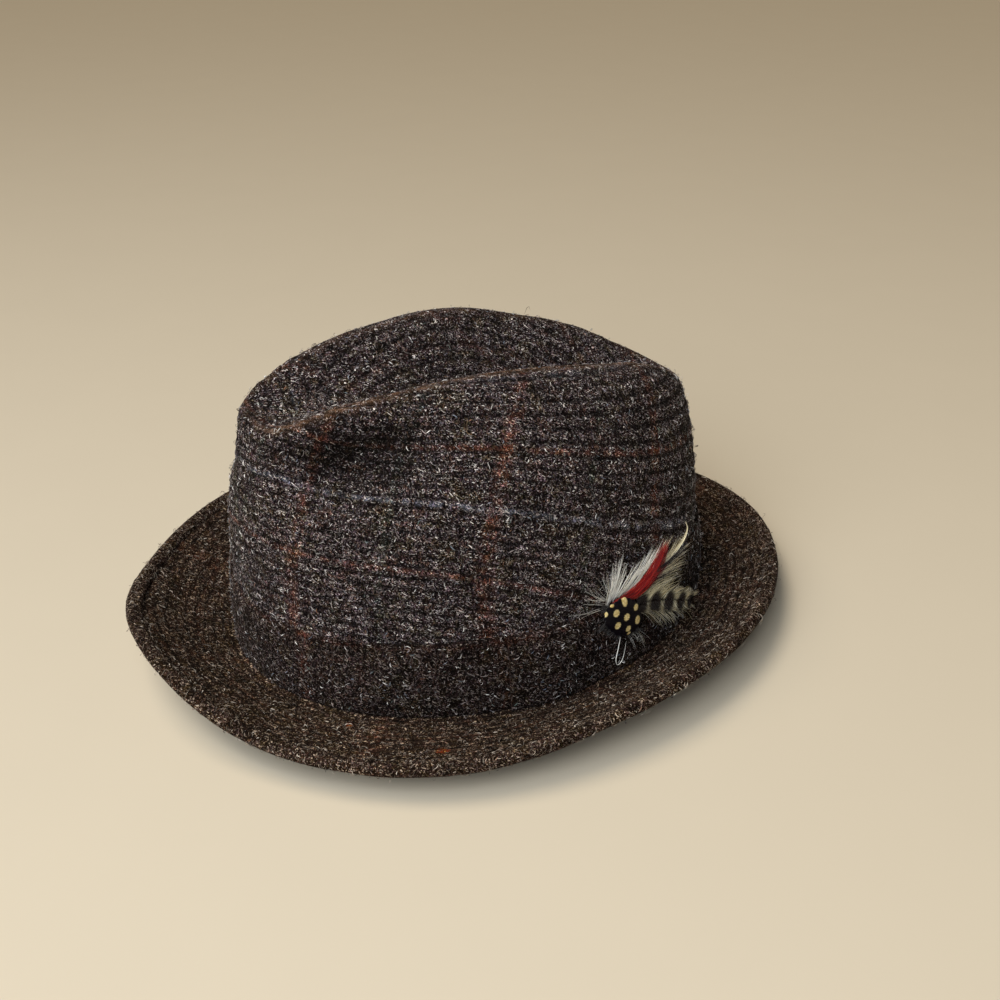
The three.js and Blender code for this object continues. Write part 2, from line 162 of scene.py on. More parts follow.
def evenly(points, count):
    # Each column of points is walked at an even pace, softened by a bell near the ridge, and divided into
    # count points. The second result is the way walked, in millimetres
    rounding = crown["ridgeRounding"]
    step = np.linalg.norm(np.diff(points, axis=1), axis=-1)
    walked = np.concatenate([np.zeros((len(points), 1)), step.cumsum(1)], 1)
    fine = 2 * points.shape[1]
    paces = walked[:, -1:] * np.linspace(0, 1, fine)
    even = np.stack([np.stack([np.interp(p, w, line[:, a]) for a in range(3)], -1)
                     for p, w, line in zip(paces, walked, points)])
    half = 24                            # steps that the bell reaches to either side
    bell = np.exp(-0.5 * (np.arange(-half, half + 1) * paces[:, 1].mean() / rounding)**2)
    bell /= bell.sum()
    padded = np.concatenate([even[:, :1].repeat(half, 1), even, even[:, -1:].repeat(half, 1)], 1)
    soft = sum(w * padded[:, i:i + fine] for i, w in enumerate(bell))
    ridgeAt = walked[:, points.shape[1] // 2][:, None]
    near = np.exp(-((paces - ridgeAt) / (4 * rounding))**4)[..., None]
    even = even + (soft - even) * near
    places = np.linspace(0, fine - 1, count)
    low = np.minimum(places.astype(int), fine - 2)
    part = (places - low)[None, :, None]
    return even[:, low] * (1 - part) + even[:, low + 1] * part, walked[:, -1:] * np.linspace(0, 1, count)


def gridNormals(points, closedRound=True):
    # cross product of the grid's two directions, at length 1
    if closedRound:
        around = np.roll(points, -1, 0) - np.roll(points, 1, 0)
    else:
        around = np.gradient(points, axis=0)
    return unit(np.cross(around, np.gradient(points, axis=1)))


def facing(points, guess, closedRound=True, row=slice(None)):
    # normals of a grid, all turned over if those of the given row point against the guess
    normals = gridNormals(points, closedRound)
    return normals * np.sign((normals[:, row] * guess).sum(-1).mean())


def clothLevel(angle, walked):
    # The cloth was cut flat, so its rows fall towards the back:
    # level = (walked + fall * s) / (1 + gather * s), where s = slack * tanh(stiff * |sin(half angle)| ** 3)
    # grows from 0 near the front to about 0.6 at the back
    half = np.abs(np.sin(np.radians(angle - quilt["lowest"]) / 2))
    s = quilt["slack"] * np.tanh(quilt["stiff"] * half**3)
    return (walked + quilt["fall"] * s) / (1 + quilt["gather"] * s)


def wander(seed, count, *axes):
    # smooth random field between about -1 and 1: a sum of sines with random directions, lengths and phases
    draw = np.random.default_rng(seed)
    total = 0
    for _ in range(count):
        phase = draw.uniform(0, 2 * math.pi)
        total = total + np.sin(sum(a * w for a, w in zip(axes, draw.normal(0, 1, len(axes)))) + phase)
    return total / math.sqrt(count)


def quilting(level, along, pitch, puff, seed):
    # Puff of the cloth between its stitched rows: puff * |sin(pi * level / pitch)| ** 0.6, with rows that
    # wander a little and a puff that varies along them
    level = level + 0.35 * wander(seed, 6, along * 0.07, level * 0.05)
    amount = 0.75 + 0.25 * wander(seed + 1, 6, along * 0.05, level * 0.3)
    return puff * np.clip(amount, 0.2, 1.3) * np.abs(np.sin(math.pi * level / pitch))**0.6


def gridFaces(columns, rows, closedRound, closedAcross, skipRows=()):
    # quads between neighbouring points of a grid, and the corners of the same grid before its ends are joined
    c = np.arange(columns if closedRound else columns - 1)[:, None]
    r = np.array([i for i in range(rows if closedAcross else rows - 1) if i not in skipRows])[None]
    c, r = [a.ravel() for a in np.broadcast_arrays(c, r)]
    c2, r2 = c + 1, r + 1

    def quads(c, c2, r, r2, rows):
        return np.stack([c * rows + r, c * rows + r2, c2 * rows + r2, c2 * rows + r], 1)

    return quads(c, c2 % columns, r, r2 % rows, rows), quads(c, c2, r, r2, rows + 1)


def signedVolume(points, faces):
    # a sixth of the sum of a . (b x c) + a . (c x d) over the quads a, b, c, d
    a, b, c, d = [points[faces[:, i]] for i in range(4)]
    return (np.einsum("ij,ij->i", a, np.cross(b, c)) + np.einsum("ij,ij->i", a, np.cross(c, d))).sum() / 6


def linkMesh(name, points, faces, material, uv, attributes):
    # a smooth mesh from points in millimetres, with its cloth map and one number for each point and attribute
    mesh = bpy.data.meshes.new(name)
    mesh.from_pydata((points * mm).tolist(), [], faces)
    if uv is not None:
        mesh.uv_layers.new(name="cloth").data.foreach_set("uv", uv.astype(np.float32).ravel())
    for key, values in attributes.items():
        data = mesh.attributes.new(key, "FLOAT", "POINT").data
        data.foreach_set("value", values.astype(np.float32).ravel())
    mesh.polygons.foreach_set("use_smooth", np.ones(len(mesh.polygons), bool))
    mesh.materials.append(material)
    piece = bpy.data.objects.new(name, mesh)
    bpy.context.scene.collection.objects.link(piece)
    return piece


def makePiece(name, points, faces, material, uv, **attributes):
    # a closed surface, turned outwards if its volume comes out negative
    points = points.reshape(-1, 3)
    if signedVolume(points, faces) < 0:
        faces, uv = faces[:, ::-1], uv[:, ::-1]
    return linkMesh(name, points, faces.tolist(), material, uv, attributes)


def settle(piece, slot, *nodes):
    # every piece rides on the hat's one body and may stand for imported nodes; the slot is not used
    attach(piece, "root")
    if nodes:
        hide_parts(*nodes)
    print(piece.name, "faces:", len(piece.data.polygons))
    return piece


# Materials
def addNode(tree, kind, inputs=None, **settings):
    # a shader node with its settings, whose inputs are values or other nodes' sockets
    node = tree.nodes.new(kind)
    for key, value in settings.items():
        setattr(node, key, value)
    for key, value in (inputs or {}).items():
        if isinstance(value, bpy.types.NodeSocket):
            tree.links.new(value, node.inputs[key])
        else:
            node.inputs[key].default_value = value
    return node


def calc(tree, operation, a, b=0.0):
    return addNode(tree, "ShaderNodeMath", {0: a, 1: b}, operation=operation).outputs[0]


def times(tree, product, *others):
    for value in others:
        product = calc(tree, "MULTIPLY", product, value)
    return product


def plus(tree, a, b):
    return calc(tree, "ADD", a, b)


def minus(tree, a, b):
    return calc(tree, "SUBTRACT", a, b)


def squares(tree, x, y):
    # x * x + y * y
    return plus(tree, times(tree, x, x), times(tree, y, y))


def vectorMath(tree, operation, a, b=(0, 0, 0), output=0):
    return addNode(tree, "ShaderNodeVectorMath", {0: a, 1: b}, operation=operation).outputs[output]


def separate(tree, vector):
    return list(addNode(tree, "ShaderNodeSeparateXYZ", {0: vector}).outputs)


def mixColour(tree, amount, a, b, blend="MIX"):
    # a and b are sockets or three numbers
    a, b = [c if isinstance(c, bpy.types.NodeSocket) else (*c, 1) for c in (a, b)]
    return addNode(tree, "ShaderNodeMix", {0: amount, 6: a, 7: b}, data_type="RGBA", blend_type=blend,
                   clamp_factor=True).outputs[2]


def ramp(tree, amount, stops):
    # straight blends between the colours of the stops
    node = addNode(tree, "ShaderNodeValToRGB", {0: amount})
    elements = node.color_ramp.elements
    elements[0].position, elements[1].position = stops[0][0], stops[-1][0]
    elements[0].color, elements[1].color = (*stops[0][1], 1), (*stops[-1][1], 1)
    for place, colour in stops[1:-1]:
        elements.new(place).color = (*colour, 1)
    return node.outputs[0]


def between(tree, value, low, high, start=0.0, end=1.0):
    # start up to low, end from high on, and a straight line from one to the other
    inputs = {0: value, 1: low, 2: high, 3: start, 4: end}
    return addNode(tree, "ShaderNodeMapRange", inputs, clamp=True).outputs[0]


def placeInMm(tree, shift=(0, 0, 0)):
    # the place on the piece in millimetres, moved by shift
    place = addNode(tree, "ShaderNodeTexCoord").outputs["Object"]
    scale = (1 / mm, 1 / mm, 1 / mm)
    return addNode(tree, "ShaderNodeMapping", {"Vector": place, "Location": shift, "Scale": scale}).outputs[0]


def noise(tree, shift, scale, detail, rough, distortion=0.0):
    # clouds from 0 to 1, with scale cells to a millimetre
    return addNode(tree, "ShaderNodeTexNoise", {
        "Vector": placeInMm(tree, shift), "Scale": scale, "Detail": detail, "Roughness": rough,
        "Distortion": distortion}).outputs["Fac"]


def attribute(tree, name):
    return addNode(tree, "ShaderNodeAttribute", attribute_name=name).outputs["Fac"]


def clothMap(tree):
    # u and v of the piece's own map. On the hat's cloth u counts overcheck turns and v is the level in
    # centimetres, and on the pad both are centimetres on the trim's plane
    return separate(tree, addNode(tree, "ShaderNodeUVMap", uv_map="cloth").outputs[0])[:2]


def newMaterial(name, roughness, sheen, sheenTint, gloss=0.25):
    # a matt material with a tinted sheen, whose base colour is linked by the caller
    material = bpy.data.materials.new(name)
    material.use_nodes = True
    shader = material.node_tree.nodes["Principled BSDF"]
    settings = {"Roughness": roughness, "Specular IOR Level": gloss, "Sheen Weight": sheen,
                "Sheen Roughness": 0.45, "Sheen Tint": (*sheenTint, 1)}
    for key, value in settings.items():
        shader.inputs[key].default_value = value
    return material, material.node_tree, shader


tweed = dict(
    grain=0.9, grainStops=[(0.38, (0.0008, 0.0005, 0.0005)), (0.54, (0.006, 0.004, 0.0035)),
                           (0.70, (0.048, 0.034, 0.030))],
    hue=0.6, cloudDark=0.42, cloudLight=1.68, warm=(0.040, 0.024, 0.011), warmFibre=(1.0, 0.74, 0.46),
    grooveDark=0.9, grooveHalf=0.15, groove=(0.003, 0.0025, 0.0025),
    # the browns of the painted highlight along the crest
    wornBase=(0.075, 0.042, 0.024), wornFibre=(0.40, 0.26, 0.16),
    # strength and tone of the painted shade in the side hollows
    handled=0.78, handledTone=(0.002, 0.0015, 0.001), bump=0.0006)
fibreHues = [(0.0, (0.003, 0.002, 0.002)), (0.24, (0.020, 0.014, 0.013)), (0.36, (0.125, 0.090, 0.110)),
             (0.45, (0.060, 0.074, 0.084)), (0.54, (0.190, 0.138, 0.096)), (0.62, (0.235, 0.205, 0.225)),
             (0.69, (0.095, 0.092, 0.052)), (0.78, (0.340, 0.305, 0.285)), (0.89, (0.70, 0.71, 0.75)),
             (0.95, (0.98, 1.0, 1.0)), (1.0, (1.0, 1.0, 1.0))]
patchHues = [(0.34, (0.68, 0.45, 0.29)), (0.42, (0.5, 0.55, 0.37)), (0.48, (0.58, 0.42, 0.58)),
             (0.53, (0.42, 0.5, 0.66)), (0.59, (0.68, 0.45, 0.37)), (0.68, (0.58, 0.4, 0.63))]
# cells per millimetre, half width in millimetres, reach in cells, share left out
fibreLayers = [
    dict(scale=2.00, half=0.14, reach=0.72, bare=0.10, strength=0.85, shift=(11, 3, 7)),
    dict(scale=1.25, half=0.15, reach=0.72, bare=0.36, strength=0.95, shift=(31, 17, 5)),
    dict(scale=0.62, half=0.15, reach=0.72, bare=0.66, strength=1.0, shift=(2, 41, 23)),
]
# A dye multiplies the fibres' own colour. half is a line's half width in cells. Above upperLines, in
# millimetres, the lines fade, and the blue line lies blueShift cells below a level rust line
dyes = dict(rust=(1.55, 0.60, 0.36), blue=(1.7, 2.1, 2.7), green=(0.25, 0.50, 0.38), fleck=(3.2, 0.75, 0.25),
            onGround=0.22, groundTone=0.12, upperLines=125.0, blueShift=0.455, turnInMm=92.0)
lineLooks = dict(green=dict(half=0.022, strength=0.50), blue=dict(half=0.021, strength=0.85),
                 rustTurn=dict(half=0.036, strength=0.70), rustLevel=dict(half=0.019, strength=0.62))


def fibreLayer(tree, layer):
    # One bent fibre in each cell of a cellular pattern: it lies where |p . a + bend * d * d| is under its
    # half width, p being the place from the cell's middle, a the cell's own random direction and d the
    # distance from its middle
    place = placeInMm(tree, layer["shift"])
    cells = addNode(tree, "ShaderNodeTexVoronoi", {"Vector": place, "Scale": layer["scale"]})
    distance, chance = cells.outputs["Distance"], cells.outputs["Color"]
    axis = vectorMath(tree, "NORMALIZE", vectorMath(tree, "SUBTRACT", chance, (0.5, 0.5, 0.5)))
    fromMiddle = vectorMath(tree, "SUBTRACT", place, cells.outputs["Position"])
    across = vectorMath(tree, "DOT_PRODUCT", fromMiddle, axis, 1)
    bending, share, hueChance = separate(tree, chance)
    bend = times(tree, minus(tree, bending, 0.5), 0.6 / layer["scale"])
    bent = plus(tree, across, times(tree, bend, times(tree, distance, distance)))
    line = between(tree, calc(tree, "ABSOLUTE", bent), layer["half"] * 0.35, layer["half"], 1.0, 0.0)
    ends = between(tree, distance, layer["reach"] * 0.75, layer["reach"], 1.0, 0.0)
    kept = between(tree, share, layer["bare"], layer["bare"] + 0.05)
    return times(tree, line, ends, kept), hueChance


def lineMask(tree, cell, halfWidth, soft):
    # 1 on the lines where the cell coordinate is whole, fading out at halfWidth cells from them
    away = calc(tree, "PINGPONG", cell, 0.5)
    return between(tree, away, halfWidth * (1 - soft), halfWidth * (1 + soft), 1.0, 0.0)


def overcheck(tree, turns, level, amount):
    # masks and dyes of the overcheck's lines, broken into patches. The blue line only shows from its own
    # height on
    broken = noise(tree, (7, 7, 2), 0.30, 4.0, 0.75)
    low = between(tree, level, dyes["upperLines"], dyes["upperLines"] + 15, 1.0, 0.35)
    patchy = times(tree, between(tree, broken, 0.42, 0.60), low, amount)
    pale = times(tree, between(tree, level, check["firstUp"] - 12, check["firstUp"]),
                 between(tree, broken, 0.465, 0.54), low)
    steps = calc(tree, "DIVIDE", minus(tree, level, check["firstUp"]), check["rise"])
    found = []
    for key, cell, shown, dye in (("green", plus(tree, turns, 0.5), patchy, "green"),
                                  ("blue", plus(tree, steps, dyes["blueShift"]), pale, "blue"),
                                  ("rustTurn", turns, patchy, "rust"), ("rustLevel", steps, patchy, "rust")):
        look = lineLooks[key]
        mask = lineMask(tree, cell, look["half"], 0.6)
        found.append((times(tree, mask, shown, look["strength"]), dyes[dye]))
    return found


def makeFlecks(tree, turns, level, flecks):
    # spots of bright wool: 1 inside 0.45 of the radius and 0 beyond it, from (way aside ** 2 + way up ** 2)
    found = []
    for angle, out, radius in flecks:
        aside = times(tree, minus(tree, turns, angle / check["turn"]), dyes["turnInMm"])
        square = squares(tree, aside, minus(tree, level, out))
        found.append((between(tree, square, 0.2 * radius**2, radius**2, 1.0, 0.0), dyes["fleck"]))
    return found


def makeTweed(name, rows, lines, warmth=0.0, tint=(0.98, 0.90, 0.85), flecks=()):
    # Wool tweed: dark mixed grains under layers of short bent fibres of many hues, with overcheck lines that
    # tint the fibres, grooves at the stitched rows that are darkened partly as the stitch line's own dark and
    # partly as painted shade, a lighter brown painted highlight along the crest and painted shade in the side
    # hollows. A fleck gives its angle from the front, its distance from the foot and its radius
    material, tree, shader = newMaterial(name, 0.95, 0.015, (0.8, 0.72, 0.65), 0.04)
    grain = noise(tree, (0, 0, 0), tweed["grain"], 2.0, 0.6, 0.4)
    patches = ramp(tree, noise(tree, (5, 9, 1), 0.12, 5.0, 0.75), patchHues)
    clouds = noise(tree, (8, 1, 4), 0.16, 5.0, 0.72)
    clouds = between(tree, clouds, 0.36, 0.64, tweed["cloudDark"], tweed["cloudLight"])
    turns, level = clothMap(tree)
    level = times(tree, level, 10.0)
    dyed = overcheck(tree, turns, level, lines) if lines else []
    dyed += makeFlecks(tree, turns, level, flecks)
    colour = mixColour(tree, tweed["hue"], ramp(tree, grain, tweed["grainStops"]), patches, "OVERLAY")
    colour = mixColour(tree, warmth, colour, tweed["warm"])
    for mask, dye in dyed:
        tone = [dyes["groundTone"] * d for d in dye]
        colour = mixColour(tree, times(tree, mask, dyes["onGround"]), colour, tone)
    # a lighter brown painted highlight along the crest, broken into patches
    highlightPatches = between(tree, noise(tree, (3, 8, 6), 0.25, 3.0, 0.7), 0.35, 0.6, 0.25, 1.0)
    worn = times(tree, attribute(tree, "worn"), highlightPatches)
    colour = mixColour(tree, worn, colour, tweed["wornBase"])
    height = times(tree, grain, 0.6)
    for layer in fibreLayers:
        fibre, chance = fibreLayer(tree, layer)
        hue = mixColour(tree, tweed["hue"], ramp(tree, chance, fibreHues), patches, "OVERLAY")
        hue = mixColour(tree, warmth, hue, tweed["warmFibre"], "MULTIPLY")
        for mask, dye in dyed:
            strong = vectorMath(tree, "MULTIPLY", vectorMath(tree, "ADD", hue, (0.06, 0.06, 0.06)), dye)
            hue = mixColour(tree, mask, hue, vectorMath(tree, "MINIMUM", strong, (1, 1, 1)))
        hue = mixColour(tree, times(tree, worn, 0.6), hue, tweed["wornFibre"])
        colour = mixColour(tree, times(tree, fibre, layer["strength"]), colour, hue)
        height = calc(tree, "MAXIMUM", height, times(tree, fibre, 0.5 + 0.4 * layer["strength"]))
    if rows:
        # the grooves darken: partly the stitch line's own dark, partly painted shade between the puffs
        groove = lineMask(tree, calc(tree, "DIVIDE", level, rows), tweed["grooveHalf"], 0.8)
        ragged = between(tree, noise(tree, (4, 2, 9), 0.30, 2.0, 0.6), 0.3, 0.65, 0.25, 1.0)
        colour = mixColour(tree, times(tree, groove, ragged, tweed["grooveDark"]), colour, tweed["groove"])
    colour = mixColour(tree, 1.0, colour, tint, "MULTIPLY")
    colour = vectorMath(tree, "MULTIPLY", colour, clouds)
    # painted shade in the side hollows below the ridge
    handled = times(tree, attribute(tree, "handled"), tweed["handled"])
    colour = mixColour(tree, handled, colour, tweed["handledTone"])
    bump = addNode(tree, "ShaderNodeBump", {"Strength": 1.0, "Distance": tweed["bump"], "Height": height})
    tree.links.new(colour, shader.inputs["Base Color"])
    tree.links.new(bump.outputs[0], shader.inputs["Normal"])
    return material


def makeHair(name, stops, roughness=0.6, sheen=0.2, bar=None):
    # Hairs and barbs: a colour for each by its own tint, a little darker at the root, and dark where bars
    # cross
    material, tree, shader = newMaterial(name, roughness, sheen, (1, 1, 1))
    colour = ramp(tree, attribute(tree, "tint"), stops)
    root = between(tree, attribute(tree, "along"), 0.0, 0.4, 0.45, 0.0)
    colour = mixColour(tree, root, colour, (0.03, 0.025, 0.02))
    if bar:
        colour = mixColour(tree, attribute(tree, "dark"), colour, bar)
    tree.links.new(colour, shader.inputs["Base Color"])
    return material


crownTweed = makeTweed("crown_tweed", quilt["pitch"], 1.0)
brimTweed = makeTweed("brim_tweed", quilt["brimPitch"], 0.5, 0.4, (0.63, 0.53, 0.425),
                      [(58.0, 27.0, 2.8), (39.0, 10.0, 1.8)])
# the band's darker tint is painted shade at the crown's foot, where the brim and the trim keep light off
bandTweed = makeTweed("band_tweed", 0, 0.6, 0.12, (0.46, 0.395, 0.35))
weltTweed = makeTweed("welt_tweed", 0, 0, 0.35, (0.63, 0.54, 0.45))
kemp = makeHair("kemp", [(0.0, (0.04, 0.03, 0.026)), (0.40, (0.13, 0.10, 0.095)), (0.67, (0.38, 0.33, 0.32)),
                         (0.78, (1.0, 0.98, 0.96)), (0.86, (1.0, 0.99, 0.98)), (0.89, (0.32, 0.14, 0.06)),
                         (0.95, (0.30, 0.36, 0.48)), (1.0, (0.14, 0.20, 0.15))])
# warmer than the crown's hairs like the brim's browner wool, and darker as painted shade where hairs lying
# thick on the brim shade each other
brimKemp = makeHair("brim_kemp", [(0.0, (0.03, 0.020, 0.013)), (0.45, (0.15, 0.11, 0.075)),
                                  (0.75, (0.38, 0.30, 0.225)), (0.93, (0.86, 0.78, 0.68)),
                                  (1.0, (0.26, 0.10, 0.04))])
print("cloth materials made")


# Hairs and barbs
def tubes(name, paths, radius, tint, material, sides=3, dark=None):
    # Thin tapering tubes, one for each path: rings of a few sides on the inner points of a path, joined to
    # its first and last point, which are single. Ring = centre + radius * (side * cos + up * sin)
    count, steps = paths.shape[:2]
    ahead = unit(np.gradient(paths, axis=1))
    helper = unit(np.random.default_rng(5).normal(size=(count, 1, 3)))
    side = unit(np.cross(ahead, helper))
    up = np.cross(ahead, side)
    turn = 2 * math.pi * np.arange(sides) / sides
    inner = slice(1, steps - 1)
    ring = (paths[:, inner, None] + radius[:, inner, None, None]
            * (side[:, inner, None] * np.cos(turn)[:, None] + up[:, inner, None] * np.sin(turn)[:, None]))
    rings = steps - 2
    each = rings * sides + 2
    points = np.concatenate([paths[:, :1], ring.reshape(count, rings * sides, 3), paths[:, -1:]], 1)
    j = np.arange(sides)
    j2 = (j + 1) % sides
    start = np.stack([0 * j, 1 + j2, 1 + j, 1 + j], 1)
    bands = [1 + r * sides + np.stack([j, j2, sides + j2, sides + j], 1) for r in range(rings - 1)]
    last = 1 + (rings - 1) * sides
    end = np.stack([last + j, last + j2, 0 * j + each - 1, 0 * j + each - 1], 1)
    base = (np.arange(count) * each)[:, None, None]
    quads = (np.concatenate(bands, 0)[None] + base).reshape(-1, 4) if bands else np.zeros((0, 4), int)
    caps = (np.concatenate([start, end], 0)[None, :, :3] + base).reshape(-1, 3)
    along = np.concatenate([np.zeros(1), np.repeat(np.linspace(0, 1, steps)[inner], sides), np.ones(1)])
    attributes = dict(tint=np.repeat(tint, each), along=np.tile(along, count))
    if dark is not None:
        ringed = np.repeat(dark[:, inner], sides, 1)
        attributes["dark"] = np.concatenate([dark[:, :1], ringed, dark[:, -1:]], 1)
    return linkMesh(name, points.reshape(-1, 3), quads.tolist() + caps.tolist(), material, None, attributes)


# Loose hairs in millimetres: curl and lift scale the random bends, and rooted is where a hair's root lies
fuzz = dict(shortest=1.0, longest=4.6, thinnest=0.07, thickest=0.21, lift=0.40, curl=0.55, rooted=-0.2)


def scatter(name, points, normals, count, seed, closedRound=True, thinned=None, material=kemp):
    # Hairs spread over a grid of points by area. A hair starts just under the cloth, runs along it in any
    # direction, bends sideways by curl and bows up by lift:
    # p(s) = p + t L s + b curl L (s^2 - s) + n lift sin(pi s)
    draw = np.random.default_rng(seed)
    if closedRound:
        points = np.concatenate([points, points[:1]], 0)
        normals = np.concatenate([normals, normals[:1]], 0)
    across = points[1:, 1:] - points[:-1, :-1]
    other = points[1:, :-1] - points[:-1, 1:]
    area = np.linalg.norm(np.cross(across, other), axis=-1)
    if thinned is not None:
        area = area * thinned[:, :-1]
    area = area.ravel()
    pick = np.searchsorted(area.cumsum() / area.sum(), draw.uniform(size=count))
    c, r = np.divmod(np.minimum(pick, area.size - 1), points.shape[1] - 1)
    a, b = draw.uniform(size=(2, count, 1))

    def blended(grid):
        return (grid[c, r] * (1 - a) * (1 - b) + grid[c + 1, r] * a * (1 - b)
                + grid[c, r + 1] * (1 - a) * b + grid[c + 1, r + 1] * a * b)

    start = blended(points)
    normal = unit(blended(normals))
    t = unit(np.cross(normal, draw.normal(size=(count, 3))))
    side = np.cross(normal, t)
    length = fuzz["shortest"] + (fuzz["longest"] - fuzz["shortest"]) * draw.beta(1.1, 3.4, (count, 1, 1))
    bend = draw.normal(0, fuzz["curl"], (count, 1, 1))
    lift = fuzz["lift"] * draw.exponential(0.8, (count, 1, 1))
    freeEnd = draw.uniform(0, 0.9, (count, 1, 1)) * lift
    s = np.linspace(0, 1, 4)[None, :, None]
    paths = (start[:, None] + t[:, None] * length * (s - 0.5) + side[:, None] * bend * length * (s * s - s)
             + normal[:, None] * (fuzz["rooted"] + lift * np.sin(math.pi * s) + freeEnd * s))
    radius = fuzz["thinnest"] + (fuzz["thickest"] - fuzz["thinnest"]) * draw.uniform(size=(count, 1))**3
    return tubes(name, paths, radius * np.ones((1, 4)), draw.uniform(size=count), material)


# Crown
# Painted highlight along the crest: its breadth in millimetres and its share on the right ridge. Painted shade
# in each
# side hollow: its middle and half breadth in degrees from the front, and its middle and half height in
# millimetres
paintedLight = dict(reach=2.5, right=0.35, handledAt=44.0, handledWide=22.0, handledHeight=100.0, handledTall=10.5)


def crownPaintedLight(angle, outer, walked, ridgeAt):
    # the painted highlight along the crest is exp(-(way from the ridge / reach) ** 2), less on the right, and
    # the painted shade in the side hollows is exp(-aside ** 2 - above ** 2) below the ridge
    onLeft = np.clip(np.sin(np.radians(angle)) * 3, 0, 1)
    worn = np.exp(-((walked - ridgeAt) / paintedLight["reach"])**2) * (paintedLight["right"] + (1 - paintedLight["right"]) * onLeft)
    aside = (np.abs(turnSigned(angle)) - paintedLight["handledAt"]) / paintedLight["handledWide"]
    above = (outer[..., 2] - paintedLight["handledHeight"]) / paintedLight["handledTall"]
    return worn, np.exp(-aside**2 - above**2) * (walked < ridgeAt - 1)


def crownMap(angle, walked, level, corners, rows):
    # Cloth map of the crown: overcheck turns, which lean back as (way / leanOver) ** leanPower, and the level
    # in centimetres
    way = np.clip(walked - check["leanFrom"], 0, None)
    lean = check["leanBack"] * (way / check["leanOver"])**check["leanPower"]
    signed = turnSigned(angle)
    turn = np.where(signed < 0, signed + lean, signed - lean)
    uv = np.zeros((crown["columns"] + 1, rows + 1, 2))
    uv[:-1, :crown["outerRows"]] = np.stack([(turn - check["firstAt"]) / check["turn"], level / 10], -1)
    uv[:-1, crown["outerRows"]:-1, 1] = np.linspace(12, 0, crown["innerRows"])
    uv[-1], uv[:, -1] = uv[0], uv[:, 0]
    uv = uv.reshape(-1, 2)[corners]
    jump = np.ptp(uv[..., 0], axis=1) > 1            # faces across the seam take one corner's turn
    uv[jump, :, 0] = uv[jump, :1, 0]
    return uv


def makeCrown():
    # The side and the dent's slope as one surface, with its puffed rows, and the same surface moved in by the
    # cloth's thickness. The two halves meet along the crease, where their points are shared
    columns, outerRows, innerRows = crown["columns"], crown["outerRows"], crown["innerRows"]
    angle = roundHat(columns)[:, None]
    fine = crownProfile(angle, np.linspace(0, 2, 401)[None])
    outer, walked = evenly(fine, outerRows)
    base, _ = evenly(fine, innerRows)
    normals = [gridNormals(outer), gridNormals(base)]
    for normal in normals:
        normal[:, -1] = (0, 0, 1)
        normal[:, 0] = np.concatenate([ovalNormal(angle[:, 0]), np.zeros((columns, 1))], -1)
    level = clothLevel(angle, walked)
    ridgeAt = np.linalg.norm(np.diff(fine[:, :201], axis=1), axis=-1).sum(1)[:, None]
    # a painted highlight along the crest and painted shade in the side hollows
    worn, handled = crownPaintedLight(angle, outer, walked, ridgeAt)
    ends = np.clip((walked[:, -1:] - walked) / 3, 0, 1) * np.clip(walked / 3, 0, 1)
    relief = quilting(level, np.radians(angle) * crown["waveRadius"], quilt["pitch"], quilt["puff"], 3)
    relief = relief + 0.35 * wander(9, 12, *(0.045 * outer).transpose(2, 0, 1))
    points = outer + normals[0] * (relief * ends)[..., None]
    inner = (base - normals[1] * crown["cloth"])[:, ::-1]
    whole = np.concatenate([points, inner], 1)
    faces, corners = gridFaces(columns, outerRows + innerRows, True, True, (outerRows - 1,))
    mirrored = (-np.arange(columns)) % columns
    same = np.arange(columns * (outerRows + innerRows)).reshape(columns, -1)
    for row in (outerRows - 1, outerRows):
        same[:, row] = np.minimum(same[:, row], same[mirrored, row])
    used, faces = np.unique(same.ravel()[faces], return_inverse=True)
    uv = crownMap(angle, walked, level, corners, outerRows + innerRows)
    bare = np.zeros((columns, innerRows))
    cloth = makePiece("crown_cloth", whole.reshape(-1, 3)[used], faces.reshape(-1, 4), crownTweed, uv,
                      worn=np.concatenate([worn, bare], 1).ravel()[used],
                      handled=np.concatenate([handled, bare], 1).ravel()[used])
    # fewer hairs stand in the painted shade of the side hollows
    return cloth, points, normals[0], rowFuzz(level, quilt["pitch"]) * (1 - 0.6 * handled)


def rowFuzz(level, pitch):
    # few hairs stand in the grooves: share = |sin(pi * level / pitch)| ** 1.3, and at least a tenth
    return np.clip(np.abs(np.sin(math.pi * level / pitch))**1.3, 0.1, 1)


crownCloth, crownPoints, crownNormals, crownFuzz = makeCrown()
settle(crownCloth, "crown_tweed", "crown")
settle(scatter("crown_fibres", crownPoints, crownNormals, 16000, 21, thinned=crownFuzz), "crown_tweed")


# Brim and its welt
def brimMiddle(angle, k):
    # out = foot + (width - foot) * k, up = half the plate + rise * k ** curl, measured from the foot oval
    fromFront = np.abs(turnSigned(angle))
    width = readRows(fromFront, brim["at"], brim["width"], True)
    rise = readRows(fromFront, brim["at"], brim["rise"], True) + brim["twist"] * np.sin(2 * np.radians(angle))
    out = brim["foot"] + (width - brim["foot"]) * k
    return np.stack([out, hat["brimPlate"] / 2 + rise * k**brim["curl"]], -1)


def besideOval(angle, level):
    # point at level[..., 0] out from the foot oval and level[..., 1] up
    flat = footOval(angle) + ovalNormal(angle) * level[..., :1]
    return np.concatenate([flat, level[..., 1:]], -1)


def plateEnd(angle):
    # the k at which the plate ends, nose short of the brim's full width
    fromFront = np.abs(turnSigned(angle))
    return 1 - brim["nose"] / readRows(fromFront, brim["at"], brim["width"], True)


